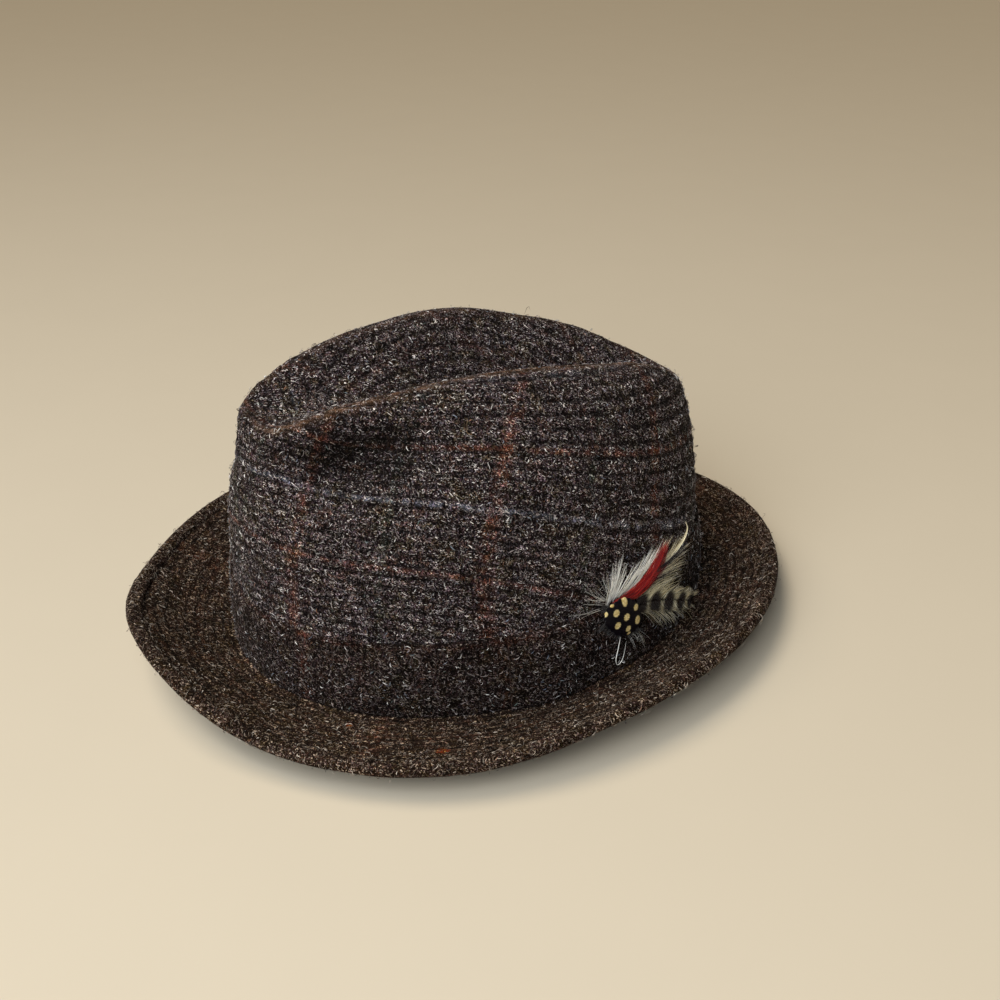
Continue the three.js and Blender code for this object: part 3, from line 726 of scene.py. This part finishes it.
def makeBrim():
    # The plate's upper face, with its puffed rows, and its lower face, flattened where it rests. k runs from
    # -0.12, under the crown's cloth, over 0 at the foot to 1 at the end of the plate
    angle = roundHat(brim["columns"])[:, None]

    def face(rows, sign):
        k = np.linspace(-0.12, 1, rows)[None] * plateEnd(angle)
        middle = brimMiddle(angle, np.clip(k, 0, 1))
        ahead = unit(brimMiddle(angle, np.clip(k, 0, 1) + 0.001) - middle)
        inward = brim["foot"] + (brim["foot"] + crown["cloth"]) * k / 0.12
        middle[..., 0] = np.where(k < 0, inward, middle[..., 0])
        up = np.stack([-ahead[..., 1], ahead[..., 0]], -1)
        up = np.where((k <= 0)[..., None], np.array([0.0, 1.0]), up)
        level = middle + sign * hat["brimPlate"] / 2 * up
        if sign < 0:
            level[..., 1] = np.maximum(level[..., 1], 0)
        return level, up, middle[..., 0]

    level, up, out = face(brim["topRows"], 1)
    roundWay = np.radians(angle) * brim["waveRadius"]
    puff = quilting(out, roundWay, quilt["brimPitch"], quilt["brimPuff"], 31)
    puff = (puff + 0.3 * wander(33, 10, roundWay * 0.03, out * 0.06)) * np.clip(out / 5, 0, 1)
    top = besideOval(angle, level + up * puff[..., None])
    lower, _, lowerOut = face(brim["underRows"], -1)
    under = besideOval(angle, lower)[:, ::-1]
    whole = np.concatenate([top, under], 1)
    rows = whole.shape[1]
    faces, corners = gridFaces(brim["columns"], rows, True, True)
    out = np.concatenate([out, lowerOut[:, ::-1], out[:, :1]], 1)
    uv = np.stack(np.broadcast_arrays(angle / check["turn"], out / 10), -1)
    uv = np.concatenate([uv, uv[:1] + (360 / check["turn"], 0)], 0)
    cloth = makePiece("brim_cloth", whole, faces, brimTweed, uv.reshape(-1, 2)[corners])
    return cloth, top, under


# The welt's outline runs out from the end of the plate and up from the plate's middle
weltEdge = dict(columns=480, wave=0.055, slotHalf=1.7)
weltRows = dict(out=np.array([-4.4, -4.2, -3.6, -2.7, -1.2, 0.2, 1.1, 1.6, 1.8]),
                up=np.array([1.5, 1.72, 2.15, 2.55, 2.6, 2.3, 1.75, 1.0, 0.0]))


def makeWelt():
    # A folded strip: the profile's upper half, its mirror image below, and the inside of the slot that holds
    # the plate's edge, carried round the end of the plate
    angle = roundHat(weltEdge["columns"])[:, None]
    out = np.concatenate([weltRows["out"], weltRows["out"][-2::-1], [hat["sewnGap"]] * 2])
    slot = [-weltEdge["slotHalf"], weltEdge["slotHalf"]]
    up = np.concatenate([weltRows["up"], -weltRows["up"][-2::-1], slot])
    k = plateEnd(angle)
    end = brimMiddle(angle, k)
    ahead = unit(brimMiddle(angle, k + 0.001) - end)
    raised = np.stack([-ahead[..., 1], ahead[..., 0]], -1)
    swell = 1 + weltEdge["wave"] * wander(41, 14, np.radians(angle) * 22)
    grown = np.where(np.abs(up) > weltEdge["slotHalf"] + 0.01, up * swell, up)
    level = end + ahead * out[None, :, None] + raised * grown[..., None]
    points = besideOval(angle, level)
    rows = points.shape[1]
    faces, corners = gridFaces(weltEdge["columns"], rows, True, True)
    uv = np.stack(np.broadcast_arrays(angle / check["turn"], 2 + np.append(out, out[0])[None] / 30), -1)
    uv = np.concatenate([uv, uv[:1]], 0)
    cloth = makePiece("welt_cloth", points, faces, weltTweed, uv.reshape(-1, 2)[corners])
    return cloth, points[:, :2 * len(weltRows["out"]) - 1]


brimCloth, brimTop, brimUnder = makeBrim()
settle(brimCloth, "brim_tweed", "brim")
weltCloth, weltOutside = makeWelt()
settle(weltCloth, "brim_tweed", "brim_welt")
weltOut = np.concatenate([ovalNormal(roundHat(weltEdge["columns"])), np.zeros((weltEdge["columns"], 1))], -1)
topNormal = facing(brimTop, (0, 0, 1))
underNormal = facing(brimUnder, (0, 0, -1))
weltNormal = facing(weltOutside, weltOut, row=len(weltRows["out"]) - 1)
for name, points, normals, count, seed in (           # the brim's hairs stop short of the crown's foot
        ("brim_top_fibres", brimTop[:, 8:], topNormal[:, 8:], 8500, 51),
        ("brim_under_fibres", brimUnder[:, :-8], underNormal[:, :-8], 2500, 52),
        ("welt_fibres", weltOutside, weltNormal, 4200, 53)):
    settle(scatter(name, points, normals, count, seed, material=brimKemp), "brim_tweed")


# Band
def bandOffset(run):
    # the strip's own start lies under its end: the inner face stands off by one thickness more over the lap
    k = np.clip((run - 360 + band["ramp"]) / band["ramp"], 0, 1)
    return hat["sewnGap"] + (band["thick"] + hat["sewnGap"]) * k * k * (3 - 2 * k)


def besideCrown(angle, height, out):
    # the crown's side is searched for the height, column by column, and left by out along the oval's normal
    share = np.linspace(0, 0.7, 141)
    side = crownProfile(angle[:, None], share[None])
    flat = np.stack([[np.interp(h, s[:, 2], s[:, a]) for a in range(2)] for s, h in zip(side, height)])
    flat = flat + ovalNormal(angle) * out[:, None]
    return np.concatenate([flat, height[:, None]], -1)


def makeBand():
    # A strip wound once round and over its own start. Its outer face swells by belly * sin(pi * a) over its
    # height a and waves a little, and its edges are rounded by edge * (1 - sqrt(1 - |2a - 1| ** 12)). The last
    # result is the length of its middle line
    run = np.linspace(0, 360 + band["lap"], band["columns"])
    angle = band["endAt"] + band["lap"] - run
    inner = bandOffset(run)
    outerRows, innerRows = band["outerRows"], band["innerRows"]
    rows = outerRows + innerRows
    across = np.concatenate([np.linspace(0, 1, outerRows), np.linspace(1, 0, innerRows)])
    upperEdge = 0.25 * wander(61, 8, np.radians(run) * 9)
    profile = []
    for row, a in enumerate(across):
        out = inner
        if row < outerRows:
            rounded = band["edge"] * (1 - math.sqrt(1 - abs(2 * a - 1)**12))
            waves = 0.22 * wander(62, 10, np.radians(run) * 14, a * 2.2)
            swell = (band["belly"] * math.sin(math.pi * a) + waves) * min(1, 6 * a, 6 * (1 - a))
            out = inner + band["thick"] + swell - rounded
        profile.append(besideCrown(angle, band["foot"] + band["height"] * a + upperEdge * (a > 0.5), out))
    points = np.stack(profile, 1)
    faces, corners = gridFaces(band["columns"], rows, False, True)
    level = check["firstUp"] - 30 + np.append(across, 0)[None] * band["height"]
    turns = (run[:, None] - band["lap"] - 0.8) / check["turn"]
    uv = np.stack(np.broadcast_arrays(turns, level / 10), -1).reshape(-1, 2)[corners]
    ends = []
    for column in (0, band["columns"] - 1):          # quads across the thickness close the strip's two ends
        loop = column * rows + np.arange(rows)
        for i in range(rows // 2 - 1):
            ends.append([loop[i], loop[i + 1], loop[-2 - i], loop[-1 - i]][::1 if column else -1])
    faces = np.concatenate([faces, np.array(ends)], 0)
    uv = np.concatenate([uv, np.zeros((len(ends), 4, 2))], 0)
    cloth = makePiece("band_cloth", points, faces, bandTweed, uv)
    halfway = np.full(len(run), band["foot"] + band["height"] / 2)
    middle = besideCrown(angle, halfway, inner + band["thick"] / 2)
    return cloth, points[:, :outerRows], np.linalg.norm(np.diff(middle, axis=0), axis=-1).sum()


bandCloth, bandOutside, bandLength = makeBand()
settle(bandCloth, "band_tweed", "hat_band")
middleRow = band["outerRows"] // 2
bandNormal = facing(bandOutside, bandOutside[:, middleRow] * (1, 1, 0) - (0, brimShift, 0), False, middleRow)
bandFibres = scatter("band_fibres", bandOutside, bandNormal, 6000, 63, False)
settle(bandFibres, "band_tweed")
print("cloth pieces made")

# Feather trim, laid out on a plane that touches the band: back along the band, up the crown, and out
trim = dict(angle=98.5, height=29.5, gap=0.3)


def trimPlane():
    # A point just off the band at trim's angle and height, and three directions of length 1: back along the
    # band, square to that up the crown, and their cross product, which points out
    run = band["endAt"] + band["lap"] + 360 - trim["angle"]
    out = bandOffset(np.array([run])) + band["thick"] + band["belly"] + trim["gap"]

    def at(turn, rise):
        return besideCrown(np.array([trim["angle"] + turn]), np.array([trim["height"] + rise]), out)[0]

    origin = at(0, 0)
    back = unit(at(1, 0) - origin)
    outward = unit(np.cross(back, unit(at(0, 3) - origin)))
    return origin, np.stack([back, np.cross(outward, back), outward])


trimOrigin, trimAxes = trimPlane()


def onPlane(flat):
    # from (back, up, out) on the plane to the hat's own millimetres
    return trimOrigin + flat @ trimAxes


def smoothPath(points, count):
    # Hermite curve through given points
    knots = np.arange(len(points)) * 1.0
    places = np.linspace(0, knots[-1], count)
    return np.stack([readRows(places, knots, column) for column in np.array(points, float).T], -1)


def bunch(root, rootAlong, tip, fan, bow, count, radius, depth, clump=3, stray=0.8, short=0.7, flare=0.5):
    # one row of a table: root and tip lie back and up on the plane, and rootAlong and fan are how far the
    # barbs spread there. clump is how many barbs go to a lock, stray how far the tips stray, and short the
    # shortest barb's share of the whole
    root, rootAlong, tip, fan = [np.array(pair) for pair in (root, rootAlong, tip, fan)]
    return dict(root=root, rootAlong=rootAlong, tip=tip, fan=fan, bow=bow, count=count, radius=radius,
                depth=depth, clump=clump, stray=stray, short=short, flare=flare)


def barbs(name, bunches, seed, material, steps=8):
    # Each row of the table is a bunch. A barb runs from near the root to near the tip on a quadratic curve
    # whose middle is pushed aside by bow, with its own wave, and rises out of the plane towards the tip by
    # flare
    draw = np.random.default_rng(seed)
    paths, radii = [], []
    s = np.linspace(0, 1, steps)[None, :, None]
    for row in bunches:
        n = row["count"]
        reach = draw.uniform(row["short"], 1.04, (n, 1))
        locks = draw.uniform(-1, 1, (max(n // row["clump"], 1), 1))
        spread = locks[draw.integers(0, len(locks), n)] + draw.normal(0, 0.04, (n, 1))
        root = row["root"] + row["rootAlong"] * spread + draw.normal(0, 0.3, (n, 2))
        tip = row["tip"] + row["fan"] * spread + draw.normal(0, row["stray"], (n, 2))
        tip = root + (tip - root) * reach
        way = tip - root
        aside = np.stack([-way[:, 1], way[:, 0]], -1)
        middle = (root + tip) / 2 + aside * (row["bow"] + draw.normal(0, 0.06, (n, 1)))
        flat = root[:, None] * (1 - s)**2 + 2 * middle[:, None] * s * (1 - s) + tip[:, None] * s**2
        wave = 2 * math.pi * (s * draw.uniform(0.7, 1.7, (n, 1, 1)) + draw.uniform(size=(n, 1, 1)))
        flat = flat + aside[:, None] * 0.016 * np.sin(wave)
        depth = row["depth"] + draw.uniform(-0.4, 0.4, (n, 1, 1))
        depth = depth + s * draw.normal(row["flare"], 0.8, (n, 1, 1))
        paths.append(np.concatenate([flat, np.maximum(depth, 0.1)], -1))
        radii.append(draw.uniform(0.7, 1.1, (n, 1)) * row["radius"] * (1 - 0.75 * s[0, :, 0])[None])
    paths, radii = np.concatenate(paths), np.concatenate(radii)
    return tubes(name, onPlane(paths), radii, draw.uniform(size=len(paths)), material)


def vane(name, feather, seed, material, steps=8):
    # Barbs leave both sides of a rib. With r the place on the rib, a its direction, d the barb's own
    # direction at the slant from a, and L its length: p(s) = r + L (s (1 - c s) d + c s s a), so they bend
    # towards the tip by c
    draw = np.random.default_rng(seed)
    n = feather["count"]
    rib = smoothPath(feather["rib"], 200)
    k = draw.uniform(0, 1, n)
    i = (k * 198).astype(int)
    root, ahead = rib[i], unit(rib[i + 1] - rib[i])
    sign = np.where(draw.uniform(size=(n, 1)) < 0.5, 1, -1)
    slant = np.radians(feather["slant"] * draw.uniform(*feather["lay"], (n, 1)))
    aside = np.stack([-ahead[:, 1], ahead[:, 0]], -1) * sign
    barb = ahead * np.cos(slant) + aside * np.sin(slant)
    length = readRows(k, np.linspace(0, 1, len(feather["length"])), np.array(feather["length"]))
    length = length[:, None, None] * draw.uniform(0.75, 1.1, (n, 1, 1))
    s = np.linspace(0, 1, steps)[None, :, None]
    c = feather["curl"] * draw.uniform(0.6, 1.4, (n, 1, 1))
    flat = root[:, None] + length * (s * (1 - c * s) * barb[:, None] + c * s * s * ahead[:, None])
    depth = feather["depth"] + draw.uniform(-0.35, 0.35, (n, 1, 1))
    depth = depth + s * draw.normal(feather["flare"], 0.5, (n, 1, 1))
    radius = draw.uniform(0.7, 1.1, (n, 1)) * feather["radius"] * (1 - 0.7 * s[0, :, 0])[None]
    paths = onPlane(np.concatenate([flat, np.maximum(depth, 0.1)], -1))
    return tubes(name, paths, radius, draw.uniform(size=n), material, dark=bars(flat, feather))


def bars(flat, feather):
    # dark spots at given places along the line from the rib's start to its end: 3.2 - 2.4 * length of
    # (way / half breadth, way aside / half height), kept between 0 and 1
    start, end = np.array(feather["rib"][0]), np.array(feather["rib"][-1])
    along = unit(end - start)
    down = (flat - start) @ along / np.linalg.norm(end - start)
    aside = np.abs((flat - start) @ np.array([-along[1], along[0]]))
    dark = np.zeros(down.shape)
    for place, half, tall in feather["bars"]:
        dark = np.maximum(dark, np.clip(3.2 - 2.4 * np.hypot((down - place) / half, aside / tall), 0, 1))
    return dark


# tables of bunches: root, tip and fan are back and up in millimetres on the plane
hackleBunches = [
    bunch((-3.6, 7.4), (1.9, 1.6), (0.4, 25.0), (5.6, 1.2), -0.05, 26, 0.13, 0.9, clump=2, stray=1.0),
    bunch((-3.2, 7.6), (1.9, 1.6), (1.0, 14.6), (4.0, 0.6), -0.05, 16, 0.15, 1.0, clump=2, stray=1.0),
    bunch((-0.6, 8.2), (1.6, 0.8), (8.2, 21.0), (4.2, -1.4), -0.07, 15, 0.15, 1.0, clump=2, stray=1.3),
    bunch((1.6, 8.2), (2.2, 0.2), (15.4, 19.4), (4.4, 1.2), -0.07, 24, 0.18, 1.1, clump=2, stray=1.3),
    bunch((5.0, 8.0), (3.0, 0.6), (21.6, 22.8), (4.2, 1.4), -0.06, 34, 0.18, 1.1, clump=2, stray=1.2),
    bunch((-5.0, 8.0), (1.0, 1.4), (-17.0, 15.0), (3.0, 4.0), 0.06, 18, 0.085, 1.0, stray=2.0),
    bunch((-3.0, 9.5), (1.0, 1.0), (-9.0, 19.0), (4.0, 3.0), 0.06, 10, 0.08, 1.0, stray=1.5),
    bunch((5.0, -6.5), (4.0, -1.0), (12.0, -17.0), (6.0, -1.0), 0.12, 14, 0.08, 2.5, stray=1.4),
    bunch((9.0, -7.0), (3.0, -0.6), (18.0, -21.0), (5.0, -1.0), 0.1, 5, 0.075, 2.5, stray=1.4),
]
creamBunches = [
    bunch((16.0, 11.0), (3.0, 2.4), (29.4, 24.2), (3.2, 0.6), -0.06, 36, 0.13, 1.0, clump=2),
    bunch((19.0, 10.0), (3.0, 2.0), (36.0, 22.0), (2.6, 1.6), -0.12, 34, 0.13, 1.2, clump=2),
    bunch((19.0, 8.5), (2.0, 1.6), (40.8, 16.4), (1.2, 2.8), 0.07, 28, 0.12, 1.4, clump=2),
    bunch((18.0, 6.0), (2.0, 1.4), (38.6, 8.6), (1.8, 3.4), 0.16, 36, 0.12, 1.4, clump=2),
    bunch((15.0, 3.0), (7.0, -1.5), (34.0, 5.6), (5.0, -2.0), 0.12, 30, 0.11, 1.6, clump=2),
    bunch((14.0, -2.0), (6.0, -1.6), (25.0, -15.4), (5.0, -0.6), 0.14, 30, 0.1, 1.8, clump=2),
    bunch((24.0, -4.5), (6.0, -2.0), (35.0, -16.6), (5.4, -0.8), 0.12, 30, 0.11, 1.8, clump=2),
]
redBunches = [
    bunch((1.4, 7.0), (5.2, -0.9), (26.2, 23.4), (0.7, 0.3), -0.36, 120, 0.2, 2.4, stray=0.35, short=0.88,
          flare=0.3),
    bunch((2.6, 6.4), (6.4, -1.4), (20.4, 13.6), (1.1, -1.1), -0.2, 100, 0.21, 2.4, stray=0.5, short=0.7,
          flare=0.3),
    bunch((5.5, 5.4), (3.5, -1.0), (26.6, 15.8), (0.5, 0.5), -0.14, 14, 0.19, 2.4, stray=0.4, short=0.84,
          flare=0.3),
]
darkBunches = [
    bunch((18.0, 12.4), (1.4, 0.8), (36.2, 18.4), (0.5, 0.5), -0.13, 30, 0.17, 2.9, stray=0.3),
    bunch((18.0, 9.5), (1.4, 0.8), (31.0, 10.2), (0.5, 0.5), -0.1, 12, 0.14, 2.8, stray=0.3),
]
# each bar: its place along the rib, half its breadth there, both as shares of the rib, and half its height
barredFeather = dict(
    rib=[(9.0, 1.6), (18.0, 0.6), (28.0, -3.0), (39.0, -7.6)], count=430, length=[8.0, 10.5, 11.5, 9.5, 6.0],
    slant=60, lay=(0.75, 1.2), curl=0.42, depth=2.3, flare=0.3, radius=0.15,
    bars=[(0.09, 0.105, 5.4), (0.35, 0.098, 5.2), (0.60, 0.084, 4.8), (0.83, 0.066, 4.2), (1.0, 0.044, 3.4)])
white = makeHair("white_barbs", [(0.0, (0.60, 0.54, 0.42)), (0.25, (0.98, 0.95, 0.86)),
                                 (0.85, (1.0, 1.0, 0.97)), (1.0, (0.72, 0.64, 0.42))], 0.5, 0.3)
cream = makeHair("cream_barbs", [(0.0, (0.20, 0.15, 0.07)), (0.3, (0.66, 0.56, 0.30)),
                                 (0.65, (0.98, 0.90, 0.64)), (1.0, (1.0, 0.96, 0.84))], 0.5, 0.2)
red = makeHair("red_barbs", [(0.0, (0.05, 0.001, 0.002)), (0.4, (0.25, 0.003, 0.005)),
                             (0.8, (0.52, 0.010, 0.010)), (1.0, (0.80, 0.07, 0.03))], 0.55, 0.08)
dark = makeHair("dark_barbs", [(0.0, (0.004, 0.004, 0.005)), (1.0, (0.02, 0.017, 0.015))], 0.45, 0.2)
barred = makeHair("barred_barbs", [(0.0, (0.36, 0.27, 0.12)), (0.4, (0.82, 0.71, 0.43)),
                                   (0.8, (1.0, 0.95, 0.72)), (1.0, (0.26, 0.19, 0.08))],
                  0.6, 0.1, (0.016, 0.008, 0.005))

settle(barbs("hackle_barbs", hackleBunches, 71, white), "white_feather", "white_hackle")
settle(barbs("cream_barbs", creamBunches, 77, cream), "white_feather")
settle(barbs("red_barbs", redBunches, 73, red), "red_feather", "red_feather")
settle(vane("barred_barbs", barredFeather, 81, barred), "barred_feather", "barred_feather")
settle(barbs("dark_barbs", darkBunches, 75, dark), "barred_feather")


def strands(name, path, count, spread, radius, seed, material):
    # A few strands side by side along a given path. They close up towards its end, and their radius is
    # radius * (1 - 0.8 s ** 2)
    draw = np.random.default_rng(seed)
    s = np.linspace(0, 1, 26)
    apart = draw.normal(0, spread, (count, 1, 3)) * (1 - 0.85 * s)[None, :, None]
    line = smoothPath(path, len(s))[None] + apart
    taper = radius * (1 - 0.8 * s**2)[None] * draw.uniform(0.8, 1.1, (count, 1))
    return tubes(name, onPlane(line), taper, draw.uniform(0.3, 0.8, count), material, 5)


curledTip = [(20.5, 12.5, 1.8), (26.0, 15.4, 2.0), (31.6, 17.0, 2.2), (36.6, 20.6, 2.3), (38.9, 24.2, 2.2),
             (38.2, 27.6, 2.0)]
settle(strands("curled_tip", curledTip, 7, 0.6, 0.115, 97, cream), "white_feather")

# Spotted pad: a low dome of short dark barbs with cream spots
pad = dict(back=1.0, up=0.8, halfLength=10.6, halfHeight=7.4, thick=2.6, turn=-38.0, lift=4.1,
           rings=30, sides=110)
# each spot: its middle back and up on the plane, and its half breadth and half height
spots = [(1.3, 8.0, 1.5, 2.4), (-4.9, 9.4, 1.4, 1.8), (-3.5, 4.7, 1.6, 1.6), (1.5, 1.1, 1.6, 1.6),
         (7.0, 3.0, 1.5, 1.4), (7.3, -2.6, 1.5, 2.0), (-3.1, -0.8, 1.5, 1.6), (2.2, -4.3, 1.4, 1.4),
         (-8.4, 5.9, 1.1, 1.2), (2.6, -6.6, 1.0, 0.7)]


def spottedFinish():
    # a spot is where (way back / half breadth) ** 2 + (way up / half height) ** 2 + fuzz is under about 1
    material, tree, shader = newMaterial("spotted_pad", 0.45, 0.01, (0.6, 0.5, 0.9), 0.15)
    x, y = [times(tree, part, 10.0) for part in clothMap(tree)]
    fuzzy = noise(tree, (0, 0, 0), 0.9, 2.0, 0.6)
    inside = 0.0
    for back, up, halfBack, halfUp in spots:
        dx = calc(tree, "DIVIDE", minus(tree, x, back), halfBack)
        dy = calc(tree, "DIVIDE", minus(tree, y, up), halfUp)
        ragged = plus(tree, squares(tree, dx, dy), times(tree, fuzzy, 0.5))
        inside = calc(tree, "MAXIMUM", inside, between(tree, ragged, 0.85, 1.35, 1.0, 0.0))
    black = ramp(tree, fuzzy, [(0.3, (0.0015, 0.001, 0.002)), (0.6, (0.004, 0.003, 0.006)),
                               (0.8, (0.014, 0.007, 0.016))])
    cream = ramp(tree, fuzzy, [(0.35, (0.62, 0.45, 0.15)), (0.6, (0.92, 0.76, 0.38))])
    tree.links.new(mixColour(tree, inside, black, cream), shader.inputs["Base Color"])
    return material


def makePad():
    # r from 0 to 1 and the angle round it give an oval. The top is thick / 2 * sqrt(1 - r^2) with fine barb
    # ridges, and the underside is its mirror image, a little flatter. All points of a pole become one
    r = np.linspace(0, 1, pad["rings"])[None]
    around = (2 * math.pi * np.arange(pad["sides"]) / pad["sides"])[:, None]
    ragged = 1 + 0.05 * wander(91, 8, around * 5) + 0.03 * np.sin(around * 23)
    turn = math.radians(pad["turn"])
    x = pad["halfLength"] * r * np.cos(around) * ragged
    y = pad["halfHeight"] * r * np.sin(around) * ragged
    back = pad["back"] + x * math.cos(turn) - y * math.sin(turn)
    up = pad["up"] + x * math.sin(turn) + y * math.cos(turn)
    ridges = 0.12 * np.sin((back * 0.6 + up) * 6.0 + 1.5 * wander(92, 5, back * 0.4, up * 0.4)) * (1 - r**4)
    top = pad["lift"] + pad["thick"] / 2 * np.sqrt(1 - r**2) + ridges
    low = pad["lift"] - pad["thick"] / 2 * np.sqrt(1 - r**2) * 0.9 + 0 * top
    flat = np.concatenate([np.stack([back, up, top], -1), np.stack([back, up, low], -1)[:, -2::-1]], 1)
    rows = flat.shape[1]
    faces, corners = gridFaces(pad["sides"], rows, True, False)
    same = np.arange(pad["sides"] * rows).reshape(-1, rows)
    same[:, 0], same[:, -1] = same[0, 0], same[0, -1]
    faces = same.ravel()[faces]
    uv = np.concatenate([flat[..., :2], flat[:1, :, :2]], 0)
    uv = np.concatenate([uv, uv[:, :1]], 1) / 10
    used, faces = np.unique(faces, return_inverse=True)
    points = onPlane(flat.reshape(-1, 3)[used])
    return makePiece("spotted_pad_feather", points, faces.reshape(-1, 4), spottedFinish(),
                     uv.reshape(-1, 2)[corners])


settle(makePad(), "spotted_feather", "spotted_pad")
padFringe = [
    bunch((-4.0, -1.5), (4.0, -4.0), (-7.5, -4.5), (5.0, -4.5), 0.03, 70, 0.17, 3.9, stray=0.6, flare=-0.8),
    bunch((5.0, -6.0), (3.6, -1.0), (6.5, -9.8), (4.6, 0.5), 0.0, 60, 0.17, 3.9, stray=0.6, flare=-0.8),
    bunch((-7.0, 6.0), (0.8, 2.6), (-10.6, 5.4), (1.0, 3.6), 0.03, 40, 0.15, 3.9, stray=0.5, flare=-0.8),
]
settle(barbs("pad_fringe", padFringe, 95, dark), "spotted_feather")
loopPath = [(0.4, -5.6, 3.0), (-0.3, -8.0, 3.1), (-1.9, -12.6, 3.2), (-3.3, -16.7, 3.2), (-2.3, -19.3, 3.1),
            (0.2, -17.9, 3.1), (1.6, -14.0, 3.2), (2.6, -10.4, 3.2)]
settle(strands("loop_strand", loopPath, 2, 0.10, 0.13, 96, white), "white_feather")
print("feather trim made")

# Floor, light and camera
stage = dict(floor=(0.65, 0.585, 0.465), floorHalf=6.0, lampDistance=1300,
             window=dict(kind="AREA", azimuth=-58.0, elevation=42.0, strength=18.6, size=1.2,
                         colour=(0.94, 0.97, 1.0)),
             ceiling=dict(kind="SUN", azimuth=-138.0, elevation=64.0, strength=1.65, angle=34.0,
                          colour=(1.0, 0.87, 0.70)),
             sky=(1.0, 0.84, 0.60), skyStrength=0.03)
view = dict(target=np.array([0.0, 15.15, 41.6]), azimuth=-30.5, elevation=29.5, distance=514.0, lens=43.02)


def makeFloor():
    # a square of floorHalf metres to each side
    material, tree, shader = newMaterial("floor", 0.8, 0.0, (1, 1, 1))
    patches = between(tree, noise(tree, (0, 0, 0), 0.02, 3.0, 0.5), 0.3, 0.7, 0.0, 0.05)
    shade = mixColour(tree, patches, stage["floor"], [0.8 * c for c in stage["floor"]])
    tree.links.new(shade, shader.inputs["Base Color"])
    corners = np.array([[-1, -1, 0], [1, -1, 0], [1, 1, 0], [-1, 1, 0]]) * stage["floorHalf"] / mm
    linkMesh("floor", corners, [[0, 1, 2, 3]], material, None, {})


def aim(name, data, azimuth, elevation, distance):
    # a lamp or the camera at the given angles and distance from the target, turned to look at it
    a, e = math.radians(azimuth), math.radians(elevation)
    away = Vector((math.cos(a) * math.cos(e), math.sin(a) * math.cos(e), math.sin(e)))
    thing = bpy.data.objects.new(name, data)
    thing.location = Vector(view["target"] * mm) + away * distance * mm
    thing.rotation_euler = away.to_track_quat("Z", "Y").to_euler()
    bpy.context.scene.collection.objects.link(thing)
    return thing


makeFloor()
for name in ("window", "ceiling"):
    lamp = stage[name]
    light = bpy.data.lights.new(name, lamp["kind"])
    light.energy, light.color = lamp["strength"], lamp["colour"]
    if lamp["kind"] == "SUN":
        light.angle = math.radians(lamp["angle"])
    else:
        light.size = lamp["size"]
    aim(name, light, lamp["azimuth"], lamp["elevation"], stage["lampDistance"])
world = bpy.data.worlds.new("studio")
world.use_nodes = True
sky = world.node_tree.nodes["Background"]
sky.inputs[0].default_value = (*stage["sky"], 1)
sky.inputs[1].default_value = stage["skyStrength"]
bpy.context.scene.world = world
bpy.context.scene.view_settings.view_transform = "Standard"

lens = bpy.data.cameras.new("camera")
lens.lens, lens.sensor_width, lens.clip_end = view["lens"], 36, 100
bpy.context.scene.camera = aim("camera", lens, view["azimuth"], view["elevation"], view["distance"])
